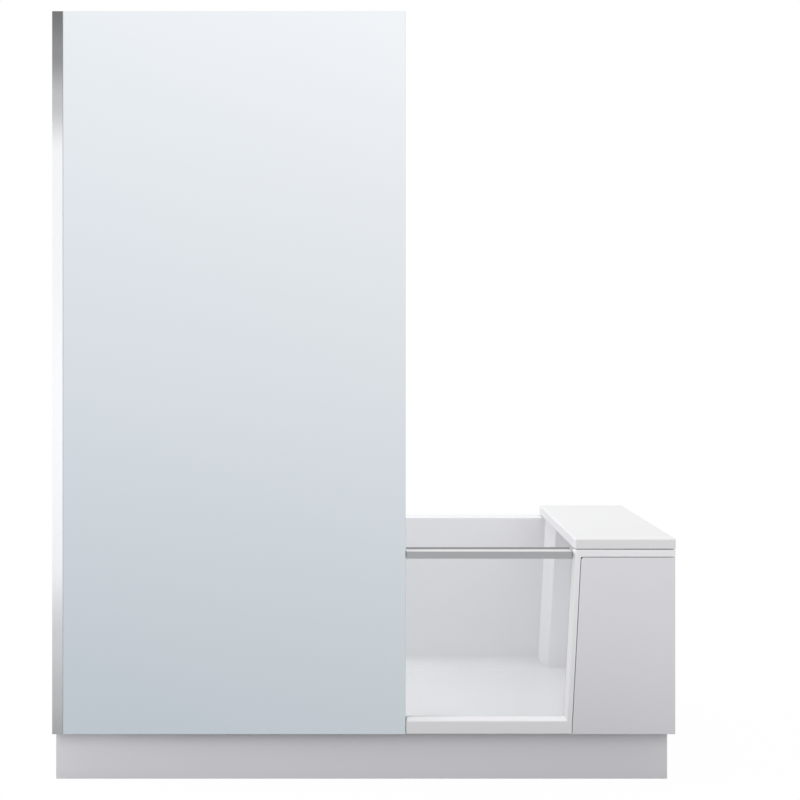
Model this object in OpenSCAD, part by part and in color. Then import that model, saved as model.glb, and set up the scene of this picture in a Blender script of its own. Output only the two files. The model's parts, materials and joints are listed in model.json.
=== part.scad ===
// Walk-in bathtub with an inward-opening glass door and a tall fixed glass screen.
// X runs along the tub, Y from the front face to the back wall, Z up.
// The origin is on the floor, at the middle of the tub's length and depth.

/* [Tub] */
// Length of the tub, from the side wall to the free end
tub_l = 1700; // [1600:10:1800]
// Depth of the tub, from its front face to the back wall
tub_w = 750; // [720:5:800]
// Height of the rim above the floor
rim_h = 638; // [600:2:680]
// Height of the lower edge of the tub, the panels and the tall glass
lower_h = 135; // [128:1:150]
// Height of the basin's floor above the lower edge
floor_up = 13; // [11:1:20]
// Thickness of the tub's moulded skin
skin_t = 8; // [6:1:9]

/* [Basin] */
// Width of the rim along the back wall
back_rim = 85; // [80:5:100]
// Front face to the inside of the front wall, at the rim
front_top = 45; // [40:1:52]
// Front face to the inside of the front wall, at the floor
front_low = 61; // [56:1:70]
// Width of the rim at the sloping head end
head_rim = 80; // [74:1:100]
// Distance that the head end slopes in, from the rim to the floor
head_lean = 170; // [100:10:200]
// Width of the closed end beside the foot recess
foot_rim = 135; // [115:5:150]
// Distance that the foot end slopes in
foot_lean = 15; // [5:1:20]
// Radius between the floor and the walls
cove_r = 40; // [20:5:50]
// Radius of the basin's corners at the head end, seen from above
plan_r = 60; // [30:5:80]
// Depth by which the thicker back wall stands forward at the foot end
pillar_d = 22; // [12:1:30]
// Width of the slanted face that leads to it
pillar_w = 33; // [20:1:45]

/* [Doorway] */
// Jamb line at the lower edge, measured from the tub's free end
jamb_foot = 298; // [285:1:310]
// Lean of the jamb, in degrees
jamb_lean = 3; // [1:0.5:4]
// Width of the jamb's front face
jamb_face = 13; // [10:1:18]
// Height of the sill's front face
sill_up = 36; // [30:1:45]
// Width and depth of the bevel round the doorway
bevel = 10; // [8:0.5:12]
// Joint between the tub and its panels
seam = 2; // [2:0.5:4]

/* [Screen] */
// Height of the top edge of the tall glass
glass_top = 2105; // [1900:5:2200]
// Width of the tall glass
glass_w = 933; // [880:1:960]
// Thickness of both glasses
glass_t = 8; // [6:1:8]
// Width of the wall profile
profile_w = 30; // [28:1:36]
// Depth of the wall profile
profile_d = 32; // [28:1:34]
// Radius of the wall profile's screw holes
fix_r = 2.75; // [2:0.25:3.5]

/* [Door] */
// Height of the rail along the top of the door
rail_h = 20; // [19:1:24]
// Depth of the rail, front to back
rail_d = 40; // [38:1:44]
// Height of the rail's top face below the rim
rail_down = 5; // [2:1:10]
// Thickness of the lip behind the rail
lip_t = 5; // [3:0.5:6]
// Radius of the hinge pins
pin_r = 3; // [2.5:0.25:3.5]
// Height of one hinge
hinge_h = 60; // [50:2:80]
// Radius of the latch bolt
bolt_r = 4; // [3:0.25:4.25]
// Throw radius of the latch crank
crank_r = 5.5; // [4.5:0.25:5.5]
// Length of the latch lever
lever_l = 72; // [50:2:90]

/* [End cover] */
// Length of the cover over the foot end
cover_l = 276; // [270:1:285]
// Thickness of the cover
cover_t = 28; // [20:1:35]
// Rounding of the cover's edges
cover_r = 5; // [2:1:8]
// Height of the pads under the cover
pad_t = 2; // [2:0.5:4]
// Radius of the cover's locating pegs
peg_r = 6; // [4:0.5:7]
// Length of the pegs
peg_l = 20; // [14:1:24]

/* [Panels and plinth] */
// Thickness of the service panel and the side panel
panel_t = 12; // [10:1:15]
// Height of the rim's front band, above the service panel
band_h = 19.5; // [16:0.5:24]
// Distance of the plinth behind the front face
plinth_in = 40; // [36:1:50]
// Distance of the plinth inside the free end
plinth_end = 15; // [10:1:20]
// Thickness of the plinth boards
plinth_t = 12; // [10:1:14]

/* [Frame and feet] */
// Distance of the long rails' middle lines inside the front and the back of the tub
frame_in = 85; // [82:1:95]
// Distance of the outer cross members inside the tub's ends
cross_end = 45; // [40:1:55]
// Distance of the inner cross members inside the tub's ends
cross_mid = 575; // [520:5:620]
// Distance of each foot from its cross member
foot_gap = 60; // [50:1:80]
// Thickness of the board glued under the basin
board_t = 13; // [10:1:16]
// Height of the cross members
cross_h = 37; // [35:1:39]
// Side of the square frame tubes
tube = 30; // [25:1:32]
// Wall of the frame tubes
tube_t = 2; // [1.5:0.5:3]
// Radius of the foot bolts
foot_r = 6; // [5:0.5:7]
// Radius of the foot pads
pad_r = 23; // [18:1:26]

/* [Waste and overflow] */
// Place of the drain along the tub
drain_x = -50; // [-120:5:20]
// Radius of the drain hole in the floor
drain_r = 30; // [26:1:32]
// Outer radius of the waste pipe
pipe_r = 20; // [18:1:20]
// Length of the waste pipe's free end
spigot_l = 60; // [40:5:62]
// Outer radius of the overflow pipe
over_r = 16; // [12:1:17]
// Height of the overflow below the rim
over_down = 78; // [70:2:100]
// Radius of the overflow knob
knob_r = 35; // [31:1:40]
// Radius of the bowden cable that lifts the plug
cable_r = 3; // [2.5:0.5:3]

/* [Hidden] */
$fn = 48;

left = -tub_l / 2;
right = tub_l / 2;
front = -tub_w / 2;
back = tub_w / 2;
touch = 0.3;      // gap between pieces that meet but can part
run = 0.05;       // radial clearance of a running fit
over = 1;         // how far a cut or a joined piece runs past a face

// basin
floor_z = lower_h + floor_up;
back_in = back - back_rim;
arc_steps = 8;
function front_in(z) = front + front_top
    + (front_low - front_top) * (rim_h - z) / (rim_h - floor_z);
function head_in(z) = left + head_rim + head_lean * (rim_h - z) / (rim_h - floor_z);
function foot_in(z) = right - foot_rim - foot_lean * (rim_h - z) / (rim_h - floor_z);

// doorway
sill_z = lower_h + sill_up;
function jamb_x(z) = right - jamb_foot + (z - lower_h) * tan(jamb_lean);
glass_l = left + profile_w;
glass_r = glass_l + glass_w;
glass_gap = 1.5;                     // joint between the tall glass and the sill
glass_back = front + glass_t;
sill_l = glass_r + glass_gap;
stop_land = 2;
stop_y = front + bevel;
seal_y = stop_y + stop_land;
reveal = 2;                          // the reveal behind the stop lies this far outside it
back_wall_of_glass_zone = 6;         // room between the tall glass and the tub's lip
lip_y = glass_back + back_wall_of_glass_zone;
edge_lip_t = 6;
edge_lip_h = 26;

// wall profile
profile_t = 2.5;
fin_l = 25;
fin_y = glass_back + 1;
cover_sheet = 2.2;
notch_x = left + profile_w + fin_l + 3;
notch_y = front + profile_d + 2;
fix_y = front + 20;
fix_low = [lower_h + 100, lower_h + 700];
fix_high = [glass_top - 700, glass_top - 100];

// door
gasket_t = 2;
gasket_w = 7;
door_y0 = seal_y + gasket_t + touch;
door_y1 = door_y0 + glass_t;
door_l = glass_r - 11;
door_low = sill_z + 3;
edge_in = 1;                         // the door glass ends this far inside the jamb line
post_x0 = glass_r - 63;
post_x1 = glass_r - 33;
post_y1 = front + 41;
post_t = 2.5;
flange_x = glass_r - 3;
axis_x = glass_r - 21;
axis_y = front + 35;
knuckle_r = pin_r + 3.5;
hinge_z = [sill_z + 90, rim_h - 100];
middle_h = hinge_h * 0.36;
knuckle_gap = 0.5;
stile_x0 = glass_r - 15;
stile_x1 = glass_r - 1;
stile_y1 = door_y1 + touch + 8;

// rail and latch
rail_z1 = rim_h - rail_down;
rail_z0 = rail_z1 - rail_h;
rail_y0 = front + 1;
rail_y1 = rail_y0 + rail_d;
rail_t = 2;
rail_gap = 1.2;
rail_x0 = glass_r + 2;
rail_x1 = jamb_x(rail_z0) - bevel - rail_gap;
cap_x1 = jamb_x(rail_z0) - edge_in - 0.5;
groove_z = rail_z0 + rail_h / 2;
lip_low = 3;
bolt_z = rail_z0 + rail_h / 2;
bolt_y = rail_y1 - rail_t - 8;
chamber_y0 = door_y1 + touch + rail_t;
pivot_x = rail_x1 - 27;
crank_t = 2;
crank_pin_r = 1.5;
slot_gap = 0.4;
throw = 2 * crank_r * sin(45);
bolt_tip = cap_x1 - 0.5;
bolt_l = 75;
yoke_w = 16;
guide_x = bolt_tip - bolt_l + 4;
strike_x0 = cap_x1 + 2.5;
strike_x1 = strike_x0 + 5;
strike_h = 24;
strike_w = 22;

// panels
panel_r = right - 1.5;
band_z = rim_h - band_h;
panel_top = band_z - seam;
panel_y1 = front + panel_t;
panel_in = jamb_face + seam;
panel_corner = 8;
side_y0 = panel_y1 + 1;
side_x0 = panel_r - panel_t;

// frame
board_z1 = floor_z - skin_t;
board_z0 = board_z1 - board_t;
cross_z0 = board_z0 - cross_h;
rail_low = cross_z0 - tube;
plinth_y0 = front + plinth_in;
plinth_y1 = plinth_y0 + plinth_t;
plinth_x1 = right - plinth_end;
plinth_top = lower_h - 2;
frame_y = back - frame_in;
frame_y0 = plinth_y1 + 3;
cross_x = [left + cross_end, left + cross_mid, right - cross_mid, right - cross_end];
foot_x = [cross_x[0] + foot_gap, cross_x[1] + foot_gap, cross_x[2] - foot_gap, cross_x[3] - foot_gap];
clip_w = 30;
clip_gap = 40;
clip_in = 5;
foot_h = 8;
nut_h = 10;
nut_r = foot_r * 1.75;
upright_x = [cross_x[0] - tube / 2, cross_x[3] - tube / 2];
bracket_z = [lower_h + 65, lower_h + 265, panel_top - 25];
magnet_t = 5;
keeper_t = 1.8;
magnet_r = 9;

// cover
cover_z0 = rim_h + pad_t;
cover_x0 = right - cover_l;
peg_x = [right - 210, right - 50];
peg_y = [front + 25, back - 40];
bush_r = peg_r + 3;

// waste and overflow
flange_r = drain_r + 13;
flange_t = 2.5;
neck_t = 3.5;
neck_l = 28;
seal_t = 3;
body_flange_t = 6;
barrel_r = drain_r + 4;
barrel_z0 = board_z0 - 57;
cup_z0 = 8;
cup_r = barrel_r + 11;
pipe_z = cup_z0 + pipe_r + 8;
pipe_end = back - 3;
collar_t = 12;
over_z = rim_h - over_down;
over_hole = 26;
over_y = back_in + skin_t + 32;
over_cup = 30;
over_cup_y1 = over_y + 20;
over_low = cross_z0 + 1 + over_r;
over_bend = 2 * over_r;
cable_x = drain_x - 24;
cable_y = back_in + skin_t + 24;
cable_z = board_z0 - 12;
cable_bend = 40;
knob_t = 9.5;
spindle_r = 5;
drum_r = 14;
plug_t = 4;

// ---------- helpers ----------

// Box between two opposite corners
module block(a, b) {
    translate(a) cube(b - a);
}

// Outline in X and Z, drawn out from y0 to y1
module along_y(y0, y1) {
    translate([0, y1, 0]) rotate([90, 0, 0]) linear_extrude(y1 - y0) children();
}

// Outline in Y and Z, drawn out from x0 to x1
module along_x(x0, x1) {
    translate([x0, 0, 0]) rotate([90, 0, 90]) linear_extrude(x1 - x0) children();
}

module rod_x(x0, x1, y, z, r) {
    translate([x0, y, z]) rotate([0, 90, 0]) cylinder(h = x1 - x0, r = r);
}

module rod_y(y0, y1, x, z, r) {
    translate([x, y1, z]) rotate([90, 0, 0]) cylinder(h = y1 - y0, r = r);
}

module rod_z(z0, z1, x, y, r) {
    translate([x, y, z0]) cylinder(h = z1 - z0, r = r);
}

// Points of one rounded corner q, between its neighbours p and s
function unit(v) = v / norm(v);
function corner(p, q, s, r) = r <= 0 ? [q] :
    let (
        a = unit(p - q),
        b = unit(s - q),
        half = acos(a * b) / 2,
        centre = q + unit(a + b) * r / sin(half),
        t1 = q + a * r / tan(half) - centre,
        t2 = q + b * r / tan(half) - centre,
        a1 = atan2(t1[1], t1[0]),
        turn = (atan2(t2[1], t2[0]) - a1 + 540) % 360 - 180
    )
    [for (i = [0:arc_steps]) centre + r * [cos(a1 + turn * i / arc_steps), sin(a1 + turn * i / arc_steps)]];

// Outline whose corners are [x, y, radius]
function outline(c) = [
    for (i = [0:len(c) - 1])
        let (p = c[(i + len(c) - 1) % len(c)], q = c[i], s = c[(i + 1) % len(c)])
        each corner([p[0], p[1]], [q[0], q[1]], [s[0], s[1]], q[2])
];

// Strip that leans with the jamb, from dx0 to dx1 beside the jamb line
module jamb_strip(dx0, dx1, y0, y1, z0, z1) {
    along_y(y0, y1) polygon([
        [jamb_x(z0) + dx0, z0], [jamb_x(z0) + dx1, z0],
        [jamb_x(z1) + dx1, z1], [jamb_x(z1) + dx0, z1]
    ]);
}

// Flat rounded block, its edges rounded all round
module soft_block(a, b, r) {
    intersection() {
        along_y(a[1], b[1]) polygon(outline([
            [a[0], a[2], r], [b[0], a[2], r], [b[0], b[2], r], [a[0], b[2], r]
        ]));
        along_x(a[0], b[0]) polygon(outline([
            [a[1], a[2], r], [b[1], a[2], r], [b[1], b[2], r], [a[1], b[2], r]
        ]));
        translate([0, 0, a[2]]) linear_extrude(b[2] - a[2]) polygon(outline([
            [a[0], a[1], r], [b[0], a[1], r], [b[0], b[1], r], [a[0], b[1], r]
        ]));
    }
}

// ---------- tub ----------

// Thicker stretch of back wall at the foot end; g is the skin left in front of it
module pillar(g) {
    x = jamb_x(lower_h) + reveal * 2;
    wall = back_in + skin_t + over;
    translate([x, 0, lower_h]) rotate([0, jamb_lean, 0]) translate([0, 0, -lower_h])
        linear_extrude(rim_h * 1.2) polygon([
            [g, wall], [g, back_in], [pillar_w + g, back_in - pillar_d + g],
            [foot_rim + jamb_foot, back_in - pillar_d + g], [foot_rim + jamb_foot, wall]
        ]);
}

// Space of the basin, grown by g on every wall, up to a height
module basin(g, top) {
    low = floor_z - g;
    difference() {
        intersection() {
            along_y(front, back) polygon(outline([
                [head_in(top) - g, top, 0], [head_in(floor_z) - g, low, cove_r + g],
                [foot_in(floor_z) + g, low, cove_r / 2 + g], [foot_in(top) + g, top, 0]
            ]));
            along_x(left, right) polygon(outline([
                [front_in(top) - g, top, 0], [front_in(floor_z) - g, low, cove_r / 2 + g],
                [back_in + g, low, cove_r + g], [back_in + g, top, 0]
            ]));
            linear_extrude(top + over) polygon(outline([
                [head_in(top) - g, front_in(top) - g, plan_r + g], [foot_in(top) + g, front_in(top) - g, 0],
                [foot_in(top) + g, back_in + g, 0], [head_in(top) - g, back_in + g, plan_r + g]
            ]));
        }
        pillar(g);
    }
}

// Rim, its turned-down edges and the band over the panels
module rim() {
    under = rim_h - skin_t;
    block([left, lip_y, under], [panel_r, back, rim_h]);
    block([jamb_x(band_z), front, under], [panel_r, lip_y + over, rim_h]);
    block([jamb_x(band_z), front, band_z], [panel_r, front + skin_t, rim_h]);
    block([panel_r - skin_t, front, band_z], [panel_r, back, rim_h]);
    block([left, lip_y, rim_h - edge_lip_h], [post_x0, lip_y + edge_lip_t, rim_h]);
    block([left, notch_y, rim_h - edge_lip_h], [left + edge_lip_t, back, rim_h]);
    block([left, back - edge_lip_t, rim_h - edge_lip_h], [side_x0 - over, back, rim_h]);
    block([left, back - edge_lip_t, band_z], [panel_r, back, rim_h]);
}

// Sill, jamb and the return beside the door post
module door_frame() {
    inner = front_in(lower_h) + over;
    block([sill_l, front, lower_h], [jamb_x(sill_z) + over, front + skin_t, sill_z]);
    block([post_x0 - skin_t, seal_y - stop_land, sill_z - skin_t], [jamb_x(sill_z) + reveal + over, inner, sill_z]);
    block([post_x0 - skin_t, stop_y, lower_h], [sill_l + skin_t, lip_y + over, sill_z]);
    block([post_x0 - skin_t, lip_y, lower_h], [post_x0, inner, rim_h]);
    jamb_strip(0, jamb_face, front, front + 19, lower_h, rim_h);
    jamb_strip(reveal, reveal + skin_t, front + 10, inner, lower_h, rim_h);
    jamb_strip(jamb_face - over, panel_in + 17, panel_y1 + touch, panel_y1 + 5, lower_h, band_z + over);
}

// Clear way through the front wall, above the sill
module doorway() {
    top = rim_h + over;
    along_y(front - over, seal_y) polygon([
        [post_x0, sill_z], [jamb_x(sill_z), sill_z], [jamb_x(top), top], [post_x0, top]
    ]);
    along_y(seal_y - over, front_in(floor_z) + cove_r) polygon([
        [post_x0, sill_z], [jamb_x(sill_z) + reveal, sill_z], [jamb_x(top) + reveal, top], [post_x0, top]
    ]);
}

// Bevelled stop that the door closes against
module door_stop() {
    along_x(sill_l, jamb_x(sill_z) + over) polygon([
        [front, sill_z - over], [front, sill_z], [stop_y, sill_z + bevel],
        [seal_y, sill_z + bevel], [seal_y, sill_z - over]
    ]);
    block([post_x1 + touch, stop_y, sill_z - over], [sill_l + over, seal_y, sill_z + bevel]);
    intersection() {
        translate([jamb_x(lower_h), 0, lower_h]) rotate([0, jamb_lean, 0]) linear_extrude(rim_h)
            polygon([[0, front], [-bevel, stop_y], [-bevel, seal_y], [over, seal_y], [over, front]]);
        block([left, front, sill_z - over], [right, seal_y, rim_h]);
    }
}

module tub_shell() {
    color("white") difference() {
        union() {
            difference() {
                union() {
                    basin(skin_t, rim_h);
                    rim();
                    door_frame();
                }
                basin(0, rim_h + over);
                doorway();
            }
            door_stop();
        }
        block([left - over, front - over, 0], [notch_x, notch_y, rim_h + over]);
        rod_z(board_z1 - over, floor_z + over, drain_x, 0, drain_r);
        rod_y(back_in - over, back_in + skin_t + over, drain_x, over_z, over_hole);
        block([strike_x0, bolt_y - strike_w / 2, bolt_z - strike_h / 2],
              [strike_x1, bolt_y + strike_w / 2, bolt_z + strike_h / 2]);
        rod_x(strike_x0, strike_x1 + skin_t * 2, bolt_y, bolt_z, bolt_r + 1);
        for (x = peg_x, y = peg_y) rod_z(rim_h - skin_t - over, rim_h + over, x, y, bush_r + run);
        for (z = hinge_z) rod_x(post_x0 - skin_t - over, post_x0 + over, axis_y - 8, z + hinge_h, 2.5);
    }
}

// ---------- frame ----------

module base_board() {
    color("tan") difference() {
        block([head_in(floor_z) + 10, -frame_y - 10, board_z0], [foot_in(floor_z) - 10, frame_y - 10, board_z1]);
        rod_z(board_z0 - over, board_z1 + over, drain_x, 0, flange_r + 10);
    }
}

// Square tube outline, w across and h high, about its middle
module tube_outline(w, h) {
    difference() {
        square([w, h], center = true);
        square([w - 2 * tube_t, h - 2 * tube_t], center = true);
    }
}

module frame_rails() {
    color("silver") for (s = [-1, 1]) difference() {
        along_x(left + 20, plinth_x1 - plinth_t - 3)
            translate([s * frame_y, rail_low + tube / 2]) tube_outline(tube, tube);
        for (x = foot_x) rod_z(rail_low - over, cross_z0 + over, x, s * frame_y, foot_r + 0.5);
    }
}

module cross_members() {
    color("silver") for (x = cross_x)
        along_y(frame_y0, -frame_y0) translate([x, cross_z0 + cross_h / 2]) tube_outline(tube, cross_h);
}

module frame_uprights() {
    color("silver") for (x = upright_x, s = [-1, 1])
        translate([x + tube / 2, s * (-frame_y0 - tube / 2), board_z0])
            linear_extrude(rim_h - skin_t - board_z0) tube_outline(tube, tube);
}

module foot_bolts() {
    color("gray") for (x = foot_x, s = [-1, 1])
        rod_z(foot_h, cross_z0 + nut_h + 6, x, s * frame_y, foot_r);
}

module foot_pads() {
    color("dimgray") for (x = foot_x, s = [-1, 1]) translate([x, s * frame_y, 0]) difference() {
        union() {
            cylinder(h = foot_h * 0.6, r = pad_r);
            translate([0, 0, foot_h * 0.6]) cylinder(h = foot_h * 1.4, r1 = pad_r * 0.8, r2 = foot_r + 4);
        }
        translate([0, 0, foot_h]) cylinder(h = foot_h * 2, r = foot_r + run);
    }
}

module foot_nuts() {
    color("silver") for (x = foot_x, s = [-1, 1], z = [rail_low - nut_h, cross_z0])
        translate([x, s * frame_y, z]) difference() {
            cylinder(h = nut_h, r = nut_r, $fn = 6);
            translate([0, 0, -over]) cylinder(h = nut_h + 2 * over, r = foot_r + run);
        }
}

module plinth_front() {
    color("lightgray") block([left, plinth_y0, 0], [plinth_x1, plinth_y1, plinth_top]);
}

module plinth_side() {
    color("lightgray") block([plinth_x1 - plinth_t, plinth_y1, 0], [plinth_x1, back, plinth_top]);
}

// Blocks that join the plinth boards to the long rails and the foot of the end
module plinth_clips() {
    z0 = rail_low + clip_in;
    z1 = rail_low + tube - clip_in;
    color("dimgray") {
        for (x = foot_x) block([x - clip_gap - clip_w, plinth_y1, z0], [x - clip_gap, -frame_y - tube / 2, z1]);
        for (s = [-1, 1]) block([plinth_x1 - plinth_t - 3, s * frame_y - 12, z0], [plinth_x1 - plinth_t, s * frame_y + 12, z1]);
    }
}

// ---------- panels ----------

module side_panel() {
    color("gainsboro") block([side_x0, side_y0, lower_h], [panel_r, back - 1, panel_top]);
}

module front_panel() {
    z0 = lower_h;
    z1 = panel_top;
    color("gainsboro") intersection() {
        along_y(front, panel_y1) polygon(outline([
            [jamb_x(z0) + panel_in, z0, 0], [panel_r, z0, 0],
            [panel_r, z1, 0], [jamb_x(z1) + panel_in, z1, panel_corner]
        ]));
        linear_extrude(z1 + over) polygon([
            [0, front], [panel_r - 3, front], [panel_r, front + 3], [panel_r, panel_y1], [0, panel_y1]
        ]);
    }
}

magnet_y0 = panel_y1 + keeper_t + touch;
front_upright_y = frame_y0;

module panel_keepers() {
    color("silver") for (z = bracket_z)
        rod_y(panel_y1, panel_y1 + keeper_t, upright_x[1] + tube / 2, z, magnet_r + 2);
}

module panel_magnets() {
    color("dimgray") for (z = bracket_z)
        rod_y(magnet_y0, magnet_y0 + magnet_t, upright_x[1] + tube / 2, z, magnet_r);
}

module panel_brackets() {
    x0 = upright_x[1];
    color("silver") for (z = bracket_z) {
        block([x0 + 4, magnet_y0 + magnet_t, z - 11], [x0 + tube - 4, front_upright_y, z + 11]);
        for (s = [-1, 1]) block([x0 + tube, s * (-frame_y0 - tube / 2) - 10, z - 11],
                                [side_x0, s * (-frame_y0 - tube / 2) + 10, z + 11]);
    }
}

// ---------- end cover ----------

module cover_slab() {
    color("white") difference() {
        soft_block([cover_x0, front, cover_z0], [right, back, cover_z0 + cover_t], cover_r);
        for (x = peg_x, y = peg_y) rod_z(cover_z0 - over, cover_z0 + 10, x, y, peg_r);
    }
}

module cover_pegs() {
    color("gray") for (x = peg_x, y = peg_y) rod_z(cover_z0 - peg_l, cover_z0 + 10, x, y, peg_r);
}

module cover_pads() {
    color("dimgray") for (x = peg_x, y = peg_y)
        translate([x + 26, y, rim_h]) cylinder(h = pad_t, r = 8);
}

module peg_bushes() {
    color("dimgray") for (x = peg_x, y = peg_y) difference() {
        rod_z(rim_h - skin_t - 2, rim_h, x, y, bush_r);
        rod_z(rim_h - skin_t - 3, rim_h + over, x, y, peg_r + 2 * run);
    }
}

// ---------- tall screen ----------

module tall_glass() {
    color("lightsteelblue") block([glass_l, front, lower_h], [glass_r, glass_back, glass_top]);
}

module wall_profile() {
    y1 = front + profile_d;
    color("silver") difference() {
        translate([0, 0, lower_h]) linear_extrude(glass_top - lower_h) {
            translate([left, front + cover_sheet]) square([profile_t, profile_d - cover_sheet]);
            translate([left, y1 - profile_t]) square([profile_w - 1, profile_t]);
            translate([left + profile_w - 1 - profile_t, front + cover_sheet]) square([profile_t, profile_d - cover_sheet]);
            translate([left + profile_w - 1 - profile_t, fin_y]) square([fin_l + profile_t, profile_t]);
        }
        for (z = concat(fix_low, fix_high)) rod_x(left - over, left + profile_t + over, fix_y, z, fix_r);
    }
}

module profile_cover() {
    hook_l = 8;
    hook_t = 1.4;
    gap = 0.4;
    color("silver") translate([0, 0, lower_h]) linear_extrude(glass_top - lower_h) {
        translate([left, front]) square([profile_w - 1, cover_sheet]);
        translate([left + profile_t + gap, front + over]) square([hook_t, hook_l]);
        translate([left + profile_w - 1 - profile_t - gap - hook_t, front + over]) square([hook_t, hook_l]);
    }
}

// Small plug in the open top end of the wall profile
module profile_cap() {
    inset = profile_t + 2.2;
    color("gray") block([left + inset, front + 12, glass_top - 14],
                        [left + profile_w - 1 - inset, front + profile_d - profile_t - touch, glass_top]);
}

module glass_edge_seal() {
    color("dimgray") translate([0, 0, lower_h]) linear_extrude(glass_top - lower_h) {
        translate([glass_l - 1, front + 1]) square([1, glass_t]);
        translate([glass_l - 1, glass_back]) square([fin_l - 2, 1]);
    }
}

// places of the clamps and brackets along the foot of the glass
clamp_out = 170;
clamp_mid = 520;
clamp_in = 80;
clamp_x = [glass_l + clamp_out, glass_l + clamp_mid, post_x0 - clamp_in];
clamp_half = 30;
clamp_low = rim_h - 60;

// Pads between the tall glass and the turned-down lip of the rim
module glass_clamps() {
    color("gray") for (x = clamp_x) {
        block([x - clamp_half, glass_back + touch, clamp_low], [x + clamp_half, lip_y, rim_h - 4]);
        block([x - clamp_half, lip_y - over, clamp_low],
              [x + clamp_half, lip_y + edge_lip_t + 4, rim_h - edge_lip_h - touch]);
    }
}

// Angles that carry the foot of the tall glass from the base board
module glass_brackets() {
    z0 = lower_h;
    y0 = glass_back + touch;
    color("gray") for (x = clamp_x) {
        block([x - 20, y0, z0], [x + 20, -frame_y - 10, z0 + 4]);
        block([x - 20, y0, z0], [x + 20, y0 + 4, z0 + 70]);
    }
}

// ---------- door post and hinges ----------

module door_post() {
    access_r = 6;
    color("silver") difference() {
        union() {
            block([post_x0, stop_y, sill_z], [post_x1, post_y1, rim_h - 2]);
            block([post_x0, stop_y, sill_z + bevel + touch], [flange_x, seal_y, rim_h - 2]);
        }
        block([post_x0 + post_t, stop_y + post_t, sill_z - over], [post_x1 - post_t, post_y1 - post_t, rim_h]);
        for (z = hinge_z) {
            rod_x(post_x0 - over, post_x0 + post_t + over, axis_y - 8, z + hinge_h, 2.5 + run);
            rod_x(post_x1 - post_t - over, post_x1 + over, axis_y - 8, z + hinge_h, access_r);
        }
    }
}

module post_screws() {
    color("gray") for (z = hinge_z) {
        rod_x(post_x0 - skin_t - 4, post_x0 + post_t + over, axis_y - 8, z + hinge_h, 2.5);
        rod_x(post_x0 + post_t, post_x0 + post_t + 3, axis_y - 8, z + hinge_h, 5);
    }
}

module hinge_brackets() {
    plate = 3;
    half = hinge_h / 2;
    mid = middle_h / 2 + knuckle_gap;
    color("silver") for (z = hinge_z) difference() {
        union() {
            block([post_x1, axis_y - knuckle_r - 5, z - half], [post_x1 + plate, post_y1, z + half]);
            for (s = [[-half, -mid], [mid, half]]) {
                block([post_x1 + over, axis_y - 4, z + s[0]], [axis_x, axis_y + 4, z + s[1]]);
                rod_z(z + s[0], z + s[1], axis_x, axis_y, knuckle_r);
            }
        }
        rod_z(z - half - over, z + half + over, axis_x, axis_y, pin_r + run);
    }
}

module hinge_pins() {
    half = hinge_h / 2;
    color("gray") for (z = hinge_z) {
        rod_z(z - half, z + half, axis_x, axis_y, pin_r);
        rod_z(z + half, z + half + 2, axis_x, axis_y, pin_r + 2);
    }
}

module door_gasket() {
    z0 = sill_z + 1;
    z1 = sill_z + 1 + gasket_w;
    top = rail_z0 - 1;
    w = gasket_w;
    out = edge_in + 0.5;
    color("dimgray") along_y(seal_y, seal_y + gasket_t) polygon([
        [flange_x - w, z0], [jamb_x(z0) - out, z0], [jamb_x(top) - out, top],
        [jamb_x(top) - out - w + 1, top], [jamb_x(z1) - out - w + 1, z1], [flange_x, z1],
        [flange_x, top], [flange_x - w, top]
    ]);
}

// ---------- door ----------

module door_glass() {
    color("lightcyan") along_y(door_y0, door_y1) polygon([
        [door_l, door_low], [jamb_x(door_low) - edge_in, door_low],
        [jamb_x(groove_z) - edge_in - over, groove_z], [door_l, groove_z]
    ]);
}

module door_stile() {
    half = middle_h / 2;
    top = rail_z0 - touch;
    y0 = door_y1 + touch;
    color("silver") difference() {
        union() {
            block([stile_x0, y0, door_low], [stile_x1, stile_y1, top]);
            block([stile_x0, door_y0, door_low], [door_l - touch, y0 + over, top]);
            for (z = hinge_z) {
                block([axis_x, stile_y1 - over, z - half], [stile_x1, axis_y, z + half]);
                rod_z(z - half, z + half, axis_x, axis_y, knuckle_r);
            }
        }
        for (z = hinge_z) rod_z(z - half - over, z + half + over, axis_x, axis_y, pin_r + run);
    }
}

// Section of the rail: a box with a groove for the glass and a raised lip at the back
module rail_section() {
    g0 = door_y0 - touch;
    g1 = door_y1 + touch;
    z1 = groove_z + touch;
    difference() {
        union() {
            translate([rail_y0, rail_z0]) square([rail_d, rail_h]);
            translate([rail_y1 - over, rail_z1 - lip_low]) square([lip_t + over, rail_down + lip_low]);
        }
        translate([rail_y0 + rail_t, rail_z0 + rail_t]) square([g0 - rail_t - rail_y0 - rail_t, rail_h - 2 * rail_t]);
        translate([g0, rail_z0 - over]) square([g1 - g0, z1 - rail_z0 + over]);
        translate([chamber_y0, rail_z0 + rail_t]) square([rail_y1 - rail_t - chamber_y0, rail_h - 2 * rail_t]);
    }
}

module door_rail() {
    color("darkgray") difference() {
        along_x(rail_x0, rail_x1) rail_section();
        rod_y(rail_y1 - rail_t - over, rail_y1 + over, pivot_x, bolt_z, pin_r + run);
    }
}

// One end cap, notched over the glass, with a plug inside the rail's rear chamber
module end_cap(x0, x1, plug0, plug1) {
    difference() {
        block([x0, door_y0, rail_z0], [x1, rail_y1, rail_z1]);
        block([x0 - over, door_y0 - over, rail_z0 - over], [x1 + over, door_y1 + touch, groove_z + touch]);
    }
    block([plug0, chamber_y0, rail_z0 + rail_t], [plug1, rail_y1 - rail_t, rail_z1 - rail_t]);
}

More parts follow.
